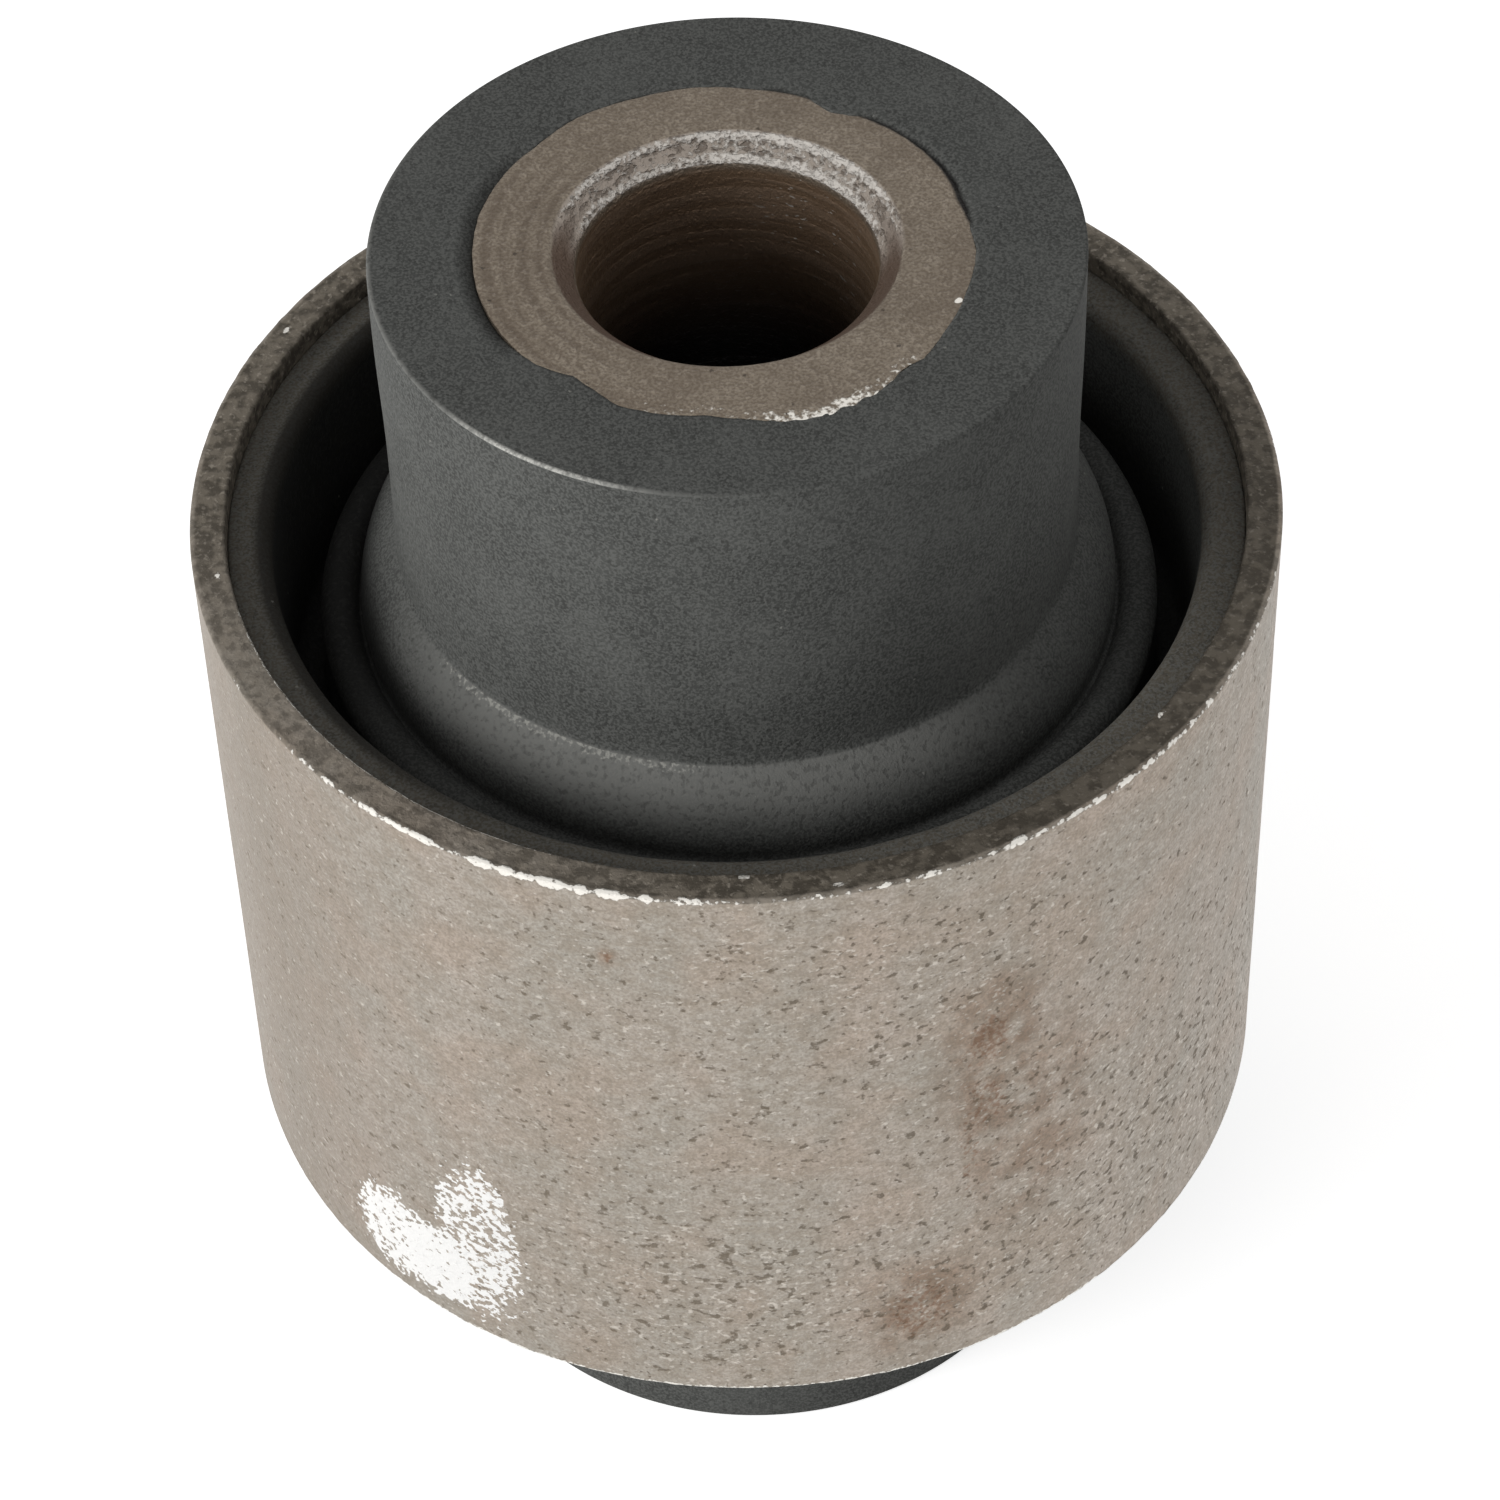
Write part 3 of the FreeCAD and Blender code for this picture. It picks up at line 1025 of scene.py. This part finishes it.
    def pitting(self, ring: Ring) -> np.ndarray:
        """How thick the flecks lie: thickest low down and at the right, in drifts, thin below each rim."""
        drifts = 0.5 + 0.5 * ring.ripple(self.drifts)
        low_down = 0.7 + 0.45 * rise(ring.height, 6.0, -10.0)
        right = 0.45 + self.pitted.cover(ring.degrees)
        below_rims = 1.0 - 0.5 * rise(np.abs(ring.height), 12.5, 15.0)
        return np.clip(low_down * (0.4 + 0.9 * drifts) * right, 0.0, 1.0) * below_rims

    def bare_edge(self, degrees: np.ndarray, ring: Ring) -> np.ndarray:
        """Where the outer edge is torn bright: a long stretch, two strong ones in it, and nicks elsewhere."""
        burrs = (self.bright_burr, self.right_burr, self.long_burr)
        torn = sum(burr.cover(degrees) for burr in burrs)
        nicks = 0.46 * rise(ring.wander(self.nicks), 0.05, 0.45)
        return np.maximum(torn, nicks)

    def build(self) -> bpy.types.Object:
        """Makes the sleeve, dresses it and puts it in the place of its solid."""
        piece = self.shape().make("sleeve_of_steel_tube")
        piece.data.materials.append(BlastedSteelTube().material())
        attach(piece, BODY)
        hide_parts("outer_sleeve")
        return piece


@dataclass(frozen=True)
class TornEdge:
    """Where steel and rubber meet at the tube's end: sizes in mm by angle in degrees, the front at -90."""

    steel_edge: tuple[tuple[float, float], ...] = (
        (-168.0, 10.0), (-148.0, 10.0), (-139.0, 9.91), (-130.0, 9.42), (-123.0, 9.6), (-116.0, 9.95),
        (-103.0, 9.86), (-96.0, 9.71), (-88.0, 9.93), (-80.0, 10.38), (-70.0, 10.52), (-64.0, 10.42),
        (-56.0, 10.27), (-49.0, 9.98), (-43.0, 10.14), (-34.0, 9.9), (-20.0, 9.76), (-5.0, 9.76),
        (4.0, 9.53), (14.0, 9.36), (24.0, 9.5), (40.0, 9.48), (52.0, 9.3), (61.0, 8.95), (69.0, 9.38),
        (85.0, 9.57), (97.0, 9.77), (110.0, 9.78), (126.0, 9.96), (140.0, 9.82), (150.0, 9.92), (163.0, 10.0),
    )
    torn_out: Stretch = Stretch(-87.0, -42.0, 5.0)
    torn_most: Stretch = Stretch(-80.0, -58.0, 10.0, 0.3)
    long_crack: Stretch = Stretch(5.0, 54.0, 5.0)
    short_crack: Stretch = Stretch(68.0, 80.0, 5.0, 0.7)
    grooved: Stretch = Stretch(145.0, 212.0, 14.0, 0.88)

    def steel(self, degrees: np.ndarray) -> np.ndarray:
        """Radius at which the steel's face ends: straight lines between the measured angles."""
        angles, radii = np.array(self.steel_edge).T
        return np.interp(degrees, angles, radii, period=FULL_TURN)

    def burr(self, degrees: np.ndarray) -> np.ndarray:
        """How strongly the edge is torn out over the rubber: one stretch, strongest near its middle."""
        return self.torn_out.cover(degrees) * (0.7 + self.torn_most.cover(degrees))

    def crack(self, degrees: np.ndarray) -> np.ndarray:
        """How far steel and rubber have parted: a thin gap round the far right side."""
        return self.long_crack.cover(degrees) + self.short_crack.cover(degrees)

    def groove(self, degrees: np.ndarray) -> np.ndarray:
        """How far the rubber dips beside the steel: most at the left, a little elsewhere."""
        return 0.12 + self.grooved.cover(degrees)

    def bevel(self, degrees: np.ndarray) -> np.ndarray:
        """How much of the steel's edge is bevelled off: all of it where its face ends short."""
        return rise(self.steel(degrees), 9.95, 9.65)


@dataclass
class InnerTube:
    """Inner steel tube with a chamfered bore, its face torn at the edge by the tool. Sizes in mm."""

    edge: TornEdge
    half_length: float = 29.25
    outer_radius: float = 9.99
    bore_radius: float = 6.0
    chamfer: float = 1.0
    rounding: float = 0.08
    rounding_swell: float = 0.01
    face_height: float = 29.19
    edge_height: float = 0.35
    lit_bore: float = 8.0
    dark_depth: float = 12.0
    bore_ring_depth: float = 0.015
    burr_height: float = 0.03
    ring_pitch: float = 0.72
    columns: int = 690
    bore_rings: Ripple = Ripple(21, 60, 3, 2)
    rim_teeth: Ripple = Ripple(22, 1, 150, 2)
    burr_teeth: Ripple = Ripple(23, 1, 130, 2)
    dish: Ripple = Ripple(24, 20, 14, 2)
    face_grain: Ripple = Ripple(25, 70, 200)
    chamfer_lumps: Ripple = Ripple(26, 90, 230, 2)
    burr_lumps: Ripple = Ripple(27, 80, 230, 2)
    ring_wobble: Ripple = Ripple(28, 24, 7, 2)
    sparkling: Stretch = Stretch(30.0, 75.0, 20.0)
    torn_chamfer: Stretch = Stretch(4.0, 164.0, 40.0, 0.92)
    thick_granules: Stretch = Stretch(30.0, 96.0, 20.0, 0.1)
    ringed_face: Stretch = Stretch(140.0, 236.0, 40.0)
    bare_specks: Stretch = Stretch(-112.0, -84.0, 6.0, 0.36)
    chip: Stain = Stain(Mask.BARE, -22.5, 9.64, 1.1, 0.17, 0.85)

    def outline(self) -> Outline:
        """The half section: wall, outer edge, face, chamfer with small rounded edges, and bore."""
        face = self.face_height
        rounding = self.rounding
        foot = face - self.chamfer
        mouth = self.bore_radius + self.chamfer
        outline = Outline(self.outer_radius, 0.0)
        outline.run(Zone.OUTSIDE, self.outer_radius, face - self.edge_height, 3)
        outline.run(Zone.OUTER_EDGE, self.outer_radius, face, 4)
        outline.run(Zone.FACE, mouth + rounding, face, 26)
        outline.run(Zone.INNER_EDGE, mouth - rounding, face - rounding, 2, self.rounding_swell)
        outline.run(Zone.CHAMFER, self.bore_radius + rounding, foot + rounding, 12)
        outline.run(Zone.BORE, self.bore_radius, foot - rounding, 2, self.rounding_swell)
        outline.run(Zone.BORE, self.bore_radius, foot - self.lit_bore, 15)
        outline.run(Zone.BORE, self.bore_radius, 0.0, 8)
        return outline

    def shape(self) -> Ring:
        """Carries the section round, gives both ends their torn edges and turns fine rings into the bore.

        Returns:
            The grid, with its masks.
        """
        ring = Ring(self.outline(), self.columns)
        for end in End:
            self.tear(ring, end)
            self.granulate(ring, end)
            self.wear(ring, end)
        bore = ring.rows(Zone.BORE)
        # Depth down the bore: it sets the bore's brown, its rings and bright streaks near the mouth, and
        # painted shade deeper down.
        depth = (self.half_length - self.chamfer - np.abs(ring.height)) / self.dark_depth
        ring.mark(Mask.DEPTH, np.clip(depth, 0.0, 1.0), bore)
        ring.mark(Mask.SPARKS, self.sparkling.cover(ring.degrees) * rise(depth, 0.6, 0.2), bore)
        ring.radius[bore] -= (self.bore_ring_depth * ring.ripple(self.bore_rings))[bore]
        return ring

    def rim(self, ring: Ring, degrees: np.ndarray) -> np.ndarray:
        """Radius at which the face ends: the steel's edge with fine teeth, longer ones on the burr."""
        teeth = 0.03 * ring.wander(self.rim_teeth)
        burr_teeth = self.edge.burr(degrees) * 0.14 * ring.wander(self.burr_teeth)
        return self.edge.steel(degrees) + (teeth + burr_teeth)

    def near_rim(self, ring: Ring, degrees: np.ndarray) -> np.ndarray:
        """1 close to the rim of the face and 0 well inside it."""
        return rise(ring.radius - self.rim(ring, degrees), -0.95, -0.35)

    def tear(self, ring: Ring, end: End) -> None:
        """Works the outer edge, the face and the burr of one end.

        Formula: the face's rows run evenly from its rim to the bore's mouth, the edge's rows slope from
        the rim to the wall, and two ripples dish and roughen the face.

        Args:
            ring: the tube's grid.
            end: which end.
        """
        degrees = ring.degrees - end.turned
        burr = self.edge.burr(degrees)
        rim = self.rim(ring, degrees)
        face = ring.rows(Zone.FACE, end=end)
        edge = ring.rows(Zone.OUTER_EDGE, end=end)
        inner = ring.radius[face].min(axis=0, keepdims=True)
        ring.radius[face] = rim + (inner - rim) * ring.shares[face]
        share = ring.shares[edge]
        ring.radius[edge] += (rim - self.outer_radius) * np.where(burr > 0.0, rise(share, 0.0, 0.5), share)
        drop = 0.04 + 0.24 * self.edge.bevel(degrees) + 0.1 * burr
        ring.height[edge] = end.side * (self.face_height - drop * (1.0 - share))
        dished = 0.012 * ring.ripple(self.dish) + 0.008 * ring.ripple(self.face_grain)
        ring.height[face] += end.side * dished[face]
        raised = burr * self.near_rim(ring, degrees) * (0.6 + 0.4 * ring.ripple(self.burr_lumps))
        ring.height[face | edge] += end.side * self.burr_height * raised[face | edge]

    def granulate(self, ring: Ring, end: End) -> None:
        """Tears one end's chamfer into pale granules: most at the far side, and a little all round.

        Formula: a fine ripple pushes the chamfer in and out, with ridges at its top and foot.

        Args:
            ring: the tube's grid.
            end: which end.
        """
        degrees = ring.degrees - end.turned
        chamfer = ring.rows(Zone.CHAMFER, end=end)
        torn = 0.08 + self.torn_chamfer.cover(degrees)
        ridge = rise(ring.shares, 0.32, 0.12) + rise(ring.shares, 0.62, 0.82)
        lumps = ring.ripple(self.chamfer_lumps)
        ring.radius[chamfer] -= (torn * (0.05 * lumps + 0.06 * ridge * (0.6 + 0.5 * lumps)))[chamfer]
        cover = torn * (0.34 + 0.22 * ridge + self.thick_granules.cover(degrees))
        ring.mark(Mask.GRANULES, cover, chamfer | ring.rows(Zone.INNER_EDGE, end=end))
        ring.mark(Mask.GRIME, 1.0, chamfer)

    def wear(self, ring: Ring, end: End) -> None:
        """Marks one end's bare burr, bare specks and chip, each with a painted glint, turning rings, and
        painted shade in the crack beside its edge.

        Formula: the rings are a sine of the radius, and a ripple bends and breaks them.

        Args:
            ring: the tube's grid.
            end: which end.
        """
        degrees = ring.degrees - end.turned
        face = ring.rows(Zone.FACE, end=end)
        edge = ring.rows(Zone.OUTER_EDGE, end=end)
        near_rim = self.near_rim(ring, degrees)
        ring.mark(Mask.BARE, 0.55 * self.edge.burr(degrees) * near_rim, face | edge)
        ring.mark(Mask.BARE, self.bare_specks.cover(degrees) * near_rim, face | edge)
        ring.mark(self.chip.mask, self.chip.spread(degrees, ring.radius), face | edge)
        wobble = ring.ripple(self.ring_wobble)
        turns = (ring.radius + 0.1 * wobble) / self.ring_pitch
        waves = ease(0.1 + wobble + np.sin(2.0 * np.pi * turns))
        ring.mark(Mask.RINGS, waves * self.ringed_face.cover(degrees), face)
        # Painted shade in the crack beside the edge.
        ring.mark(Mask.DARK, self.edge.crack(degrees), edge & (ring.shares[:, 0] < 0.9))

    def build(self) -> bpy.types.Object:
        """Makes the tube, dresses it and puts it in the place of its solid."""
        piece = self.shape().make("tube_of_turned_steel")
        piece.data.materials.append(TurnedSteel().material())
        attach(piece, BODY)
        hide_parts("inner_tube")
        return piece


@dataclass
class RubberBody:
    """Rubber moulded between the steels: bosses, foot rolls, channels, skins with their lips. Sizes in mm."""

    edge: TornEdge
    outer_radius: float = 20.99
    inner_radius: float = 10.0
    lip_height: float = 14.75
    lip_radius: float = 19.7
    lip_bevel: float = 0.5
    skin_radius: float = 19.2
    skin_foot_radius: float = 18.9
    floor_radius: float = 18.3
    floor_height: float = 5.75
    bead_outer_radius: float = 17.5
    bead_inner_radius: float = 15.88
    bead_rise: float = 0.85
    valley_height: float = 10.5
    roll_height: float = 14.4
    roll_swell: float = 0.52
    boss_foot_radius: float = 14.06
    boss_end_radius: float = 14.17
    boss_waist: float = 0.05
    face_height: float = 29.21
    join_radius: float = 11.0
    groove_depth: float = 0.22
    crack_width: float = 0.14
    crack_depth: float = 0.25
    columns: int = 410
    flow: Ripple = Ripple(31, 30, 9, 2)
    lip_waves: Ripple = Ripple(32, 20, 60, 2)
    join_teeth: Ripple = Ripple(33, 1, 120, 2)
    crack_teeth: Ripple = Ripple(34, 1, 90, 2)
    # Painted highlight along the boss's edge, brightest over the second stretch.
    edge_highlight: Stretch = Stretch(-205.0, -100.0, 50.0, 0.2)
    edge_highlight_peak: Stretch = Stretch(-136.0, -108.0, 16.0, 0.75)
    bloomed_roll: Stretch = Stretch(-150.0, -50.0, 50.0, 0.24)
    dusty_crease: Stretch = Stretch(-152.0, -92.0, 24.0, 0.5)
    # Stretches round the left side, used to lay painted shade where the lamp leaves the channel dark.
    left: Stretch = Stretch(-240.0, -150.0, 40.0)
    shaded: Stretch = Stretch(-240.0, -125.0, 40.0)

    def outline(self) -> Outline:
        """The half section: skin's back, lip, slot, bead, roll and boss, and the bond with the tube."""
        lip = self.lip_height
        face = self.face_height
        floor = self.floor_height
        valley = self.valley_height
        outline = Outline(self.outer_radius, 0.0)
        outline.run(Zone.BACK, self.outer_radius, lip - 0.1, 3)
        outline.run(Zone.LIP, self.outer_radius - 0.1, lip, 2, 0.02)
        outline.run(Zone.LIP, self.lip_radius, lip, 6)
        outline.run(Zone.LIP, self.skin_radius, lip - self.lip_bevel, 5, 0.1)
        outline.run(Zone.SKIN, self.skin_foot_radius, floor + 0.7, 12)
        outline.run(Zone.FLOOR, self.floor_radius, floor, 3, -0.15)
        outline.run(Zone.FLOOR, self.bead_outer_radius + 0.12, floor + 0.25, 3, -0.12)
        outline.run(Zone.FLANK, self.bead_outer_radius, valley - 0.35, 6)
        outline.run(Zone.BEAD, self.bead_inner_radius, valley, 12, self.bead_rise)
        outline.run(Zone.VALLEY, self.bead_inner_radius - 0.16, valley + 0.2, 2, -0.03)
        outline.run(Zone.ROLL, self.boss_foot_radius + 0.14, self.roll_height, 14, self.roll_swell)
        outline.run(Zone.CREASE, self.boss_foot_radius, self.roll_height + 0.3, 3, -0.03)
        outline.run(Zone.BOSS, self.boss_end_radius, face - 0.25, 18)
        outline.run(Zone.SHOULDER, self.boss_end_radius, face - 0.1, 2)
        outline.run(Zone.BOSS_EDGE, self.boss_end_radius - 0.1, face, 4, 0.025)
        outline.run(Zone.SHOULDER, self.boss_end_radius - 0.2, face, 1)
        outline.run(Zone.FACE, self.join_radius, face, 10)
        outline.run(Zone.JOIN, self.inner_radius + 0.1, face, 10)
        outline.run(Zone.TUCK, self.inner_radius, face - 0.5, 2)
        outline.run(Zone.BACK, self.inner_radius, 0.0, 2)
        return outline

    def shape(self) -> Ring:
        """Carries the section round, lets it flow a little and meets the steel at both ends.

        Formula: broad ripples move the rubber by a few hundredths, and the boss is drawn in a little at
        half height.

        Returns:
            The grid, with its masks.
        """
        ring = Ring(self.outline(), self.columns)
        boss = ring.rows(Zone.BOSS)
        waist = np.sin(np.pi * ring.shares) * np.sin(1.6 * np.pi * ring.shares)
        ring.radius[boss] -= self.boss_waist * waist[boss]
        channel = ring.rows(Zone.SKIN, Zone.FLOOR, Zone.FLANK, Zone.BEAD, Zone.VALLEY, Zone.ROLL, Zone.CREASE)
        free = boss | channel
        ring.radius[free] += (0.02 * ring.ripple(self.flow))[free]
        lip = ring.rows(Zone.LIP)
        ring.height[lip] += (0.04 * ring.ripple(self.lip_waves) * ring.sides[:, None])[lip]
        for end in End:
            self.join(ring, end)
        self.soil(ring)
        return ring

    def join(self, ring: Ring, end: End) -> None:
        """Brings the rubber up to the steel: flush with it, parted at the crack, dipped in the groove, with
        painted shade in the crack, the groove and the tuck.

        Formula: the join's rows run evenly from the face to where the steel's torn edge stops them.

        Args:
            ring: the rubber's grid.
            end: which end.
        """
        degrees = ring.degrees - end.turned
        steel = np.minimum(self.edge.steel(degrees) + 0.03 * ring.wander(self.join_teeth), self.inner_radius)
        crack = self.edge.crack(degrees) * (0.65 + 0.35 * ring.wander(self.crack_teeth))
        groove = self.edge.groove(degrees)
        stop = steel + 0.02 + self.crack_width * crack
        join = ring.rows(Zone.JOIN, end=end)
        share = ring.shares[join]
        start = ring.radius[ring.rows(Zone.FACE, end=end)].min(axis=0, keepdims=True)
        ring.radius[join] = start + (stop - start) * share
        dip = self.groove_depth * groove * rise(share, 0.3, 1.0)
        dip = dip + self.crack_depth * crack * rise(share, 0.7, 1.0)
        ring.height[join] = end.side * (self.face_height - dip)
        tuck = ring.rows(Zone.TUCK, end=end)
        back = stop + (self.inner_radius - stop) * ring.shares[tuck]
        ring.radius[tuck] = np.maximum(self.inner_radius, back)
        # Painted shade in the crack, the groove and the tuck beside the steel.
        ring.mark(Mask.DARK, crack * rise(ring.shares, 0.75, 0.9), join)
        ring.mark(Mask.DARK, 0.6 * groove * rise(ring.shares, 0.3, 1.0), join)
        ring.mark(Mask.DARK, 1.0, tuck)

    def soil(self, ring: Ring) -> None:
        """Marks bloom on the roll, a painted highlight on the boss's edge, dust at the crease, grime on the
        lip, and painted shade in the channel, strongest at the left.

        Args:
            ring: the rubber's grid.
        """
        degrees = ring.degrees
        share = ring.shares
        left = self.left.cover(degrees)
        shaded = self.shaded.cover(degrees)
        roll = ring.rows(Zone.ROLL)
        lip = ring.rows(Zone.LIP)
        skin = ring.rows(Zone.SKIN)
        bloom = self.edge_highlight.cover(degrees) + self.edge_highlight_peak.cover(degrees)
        # Painted highlight along the boss's edge; bloom on the roll.
        ring.mark(Mask.BLOOM, bloom, ring.rows(Zone.BOSS_EDGE))
        ring.mark(Mask.BLOOM, self.bloomed_roll.cover(degrees) * rise(share, 0.2, 0.8), roll)
        ring.mark(Mask.DUST, self.dusty_crease.cover(degrees) * rise(share, 0.86, 0.96), roll)
        ring.mark(Mask.GRIME, 1.0, lip)
        # Painted shade: the channel's floor, flank, skin, bead, valley and the roll's outer part are
        # darkened, more at the left, and so are the lip's inner slope and the skin at the left, where the
        # lamp does not reach.
        ring.mark(Mask.DARK, 0.8, ring.rows(Zone.FLOOR, Zone.FLANK))
        ring.mark(Mask.DARK, 0.8 * rise(share, 0.1, 0.7), skin)
        ring.mark(Mask.DARK, 0.4 + 0.5 * left, ring.rows(Zone.BEAD, Zone.VALLEY))
        ring.mark(Mask.DARK, (0.5 + 0.35 * left) * rise(share, 0.35 + 0.7 * left, 0.3 * left), roll)
        ring.mark(Mask.DARK, 0.8 * shaded * rise(ring.radius, self.lip_radius + 0.4, self.lip_radius), lip)
        ring.mark(Mask.DARK, 0.85 * shaded, skin)

    def build(self) -> bpy.types.Object:
        """Makes the rubber, dresses it and puts it in the place of its solid."""
        piece = self.shape().make("moulded_rubber_body")
        piece.data.materials.append(MouldedRubber().material())
        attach(piece, BODY)
        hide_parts("rubber_body")
        return piece


@dataclass(frozen=True)
class PhotoCamera:
    """The photograph's viewpoint: sizes in mm, angles in degrees."""

    target_height: float = 15.75
    distance: float = 211.47
    elevation: float = 44.015
    roll: float = -1.994
    aim_right: float = 0.0011
    aim_up: float = -0.0504
    lens: float = 123.17
    sensor: float = 36.0

    def place(self) -> None:
        """Puts the camera where the photograph was taken, in front of the bush and above it."""
        raised = np.radians(self.elevation)
        offset = Vector((0.0, -np.cos(raised), np.sin(raised))) * self.distance
        forward = -offset.normalized()
        right = Vector((1.0, 0.0, 0.0))
        upward = right.cross(forward)
        forward = (forward + self.aim_right * right + self.aim_up * upward).normalized()
        right = forward.cross(upward).normalized()
        upward = right.cross(forward)
        turn = Matrix.Rotation(np.radians(self.roll), 3, -forward)
        axes = Matrix((turn @ right, turn @ upward, -forward)).transposed().to_4x4()
        axes.translation = (offset + Vector((0.0, 0.0, self.target_height))) * MM
        camera = bpy.data.objects.new("photo_camera", bpy.data.cameras.new("photo_camera"))
        camera.data.lens = self.lens
        camera.data.sensor_width = self.sensor
        camera.data.clip_start = 0.01
        camera.matrix_world = axes
        bpy.context.scene.collection.objects.link(camera)
        bpy.context.scene.camera = camera


@dataclass(frozen=True)
class Studio:
    """Plain soft studio: white air, a white floor that keeps the shadow, and one wide lamp at the left."""

    air_level: float = 0.37
    lamp_power: float = 1.5
    lamp_distance: float = 0.5
    lamp_size: float = 0.26
    lamp_azimuth: float = -150.0
    lamp_elevation: float = 20.0
    floor_size: float = 4.0
    floor_colour: str = "#f4f4f4"
    floor_glow: float = 0.7

    def seen(self, tree: bpy.types.NodeTree) -> Socket:
        """1 for rays from the camera, a reflection or glass, and 0 for the light that falls on things."""
        rays = add(tree, "ShaderNodeLightPath").outputs
        seen = rays["Is Camera Ray"]
        for kind in ("Is Glossy Ray", "Is Transmission Ray"):
            seen = add(tree, "ShaderNodeMath", {"operation": "MAXIMUM"}, {0: rays[kind], 1: seen}).outputs[0]
        return seen

    def fill_air(self) -> None:
        """Lights everything evenly from a white world, which shows as white."""
        world = bpy.data.worlds.new("studio_air")
        world.use_nodes = True
        tree = world.node_tree
        tree.nodes.clear()
        limits = {"Value": self.seen(tree), "To Min": self.air_level, "To Max": 1.0}
        strength = add(tree, "ShaderNodeMapRange", None, limits).outputs["Result"]
        light = add(tree, "ShaderNodeBackground", None, {"Color": linear("#ffffff"), "Strength": strength})
        add(tree, "ShaderNodeOutputWorld", None, {"Surface": light.outputs[0]})
        bpy.context.scene.world = world

    def lay_floor(self, height: float) -> None:
        """Lays the floor under the bush.

        Args:
            height: the floor's height, in metres.
        """
        reach = self.floor_size / 2.0
        corners = [(x * reach, y * reach, height) for x, y in ((-1, -1), (1, -1), (1, 1), (-1, 1))]
        mesh = bpy.data.meshes.new("studio_floor")
        mesh.from_pydata(corners, [], [(0, 1, 2, 3)])
        material = bpy.data.materials.new("white_paper")
        material.use_nodes = True
        tree = material.node_tree
        tree.nodes.clear()
        paper = add(tree, "ShaderNodeBsdfDiffuse", None, {"Color": linear(self.floor_colour)})
        limits = {"Value": self.seen(tree), "To Min": 0.0, "To Max": self.floor_glow}
        strength = add(tree, "ShaderNodeMapRange", None, limits).outputs["Result"]
        glow = add(tree, "ShaderNodeEmission", None, {"Color": linear("#ffffff"), "Strength": strength})
        both = add(tree, "ShaderNodeAddShader", None, {0: paper.outputs[0], 1: glow.outputs[0]})
        add(tree, "ShaderNodeOutputMaterial", None, {"Surface": both.outputs[0]})
        mesh.materials.append(material)
        floor = bpy.data.objects.new("studio_floor", mesh)
        bpy.context.scene.collection.objects.link(floor)

    def hang_lamp(self) -> None:
        """Hangs the wide lamp at the left, aimed at the middle of the bush."""
        azimuth, elevation = np.radians([self.lamp_azimuth, self.lamp_elevation])
        level = np.cos(elevation)
        way = Vector((level * np.cos(azimuth), level * np.sin(azimuth), np.sin(elevation)))
        data = bpy.data.lights.new("wide_lamp", "AREA")
        data.shape = "DISK"
        data.size = self.lamp_size
        data.energy = self.lamp_power
        lamp = bpy.data.objects.new("wide_lamp", data)
        lamp.location = way * self.lamp_distance
        lamp.rotation_euler = way.to_track_quat("Z", "Y").to_euler()
        lamp.visible_glossy = False
        bpy.context.scene.collection.objects.link(lamp)

    def build(self) -> None:
        """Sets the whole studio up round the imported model."""
        self.fill_air()
        self.lay_floor(CAD_BOX[0][2])
        self.hang_lamp()
        bpy.context.scene.view_settings.view_transform = "Standard"


def main() -> None:
    """Builds camera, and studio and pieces."""
    logging.basicConfig(level=logging.INFO, format="%(message)s")
    PhotoCamera().place()
    Studio().build()
    edge = TornEdge()
    for maker in (OuterSleeve(), InnerTube(edge), RubberBody(edge)):
        piece = maker.build()
        LOG.info("%s: %d faces", piece.name, len(piece.data.polygons))


if __name__ == "__main__":
    main()
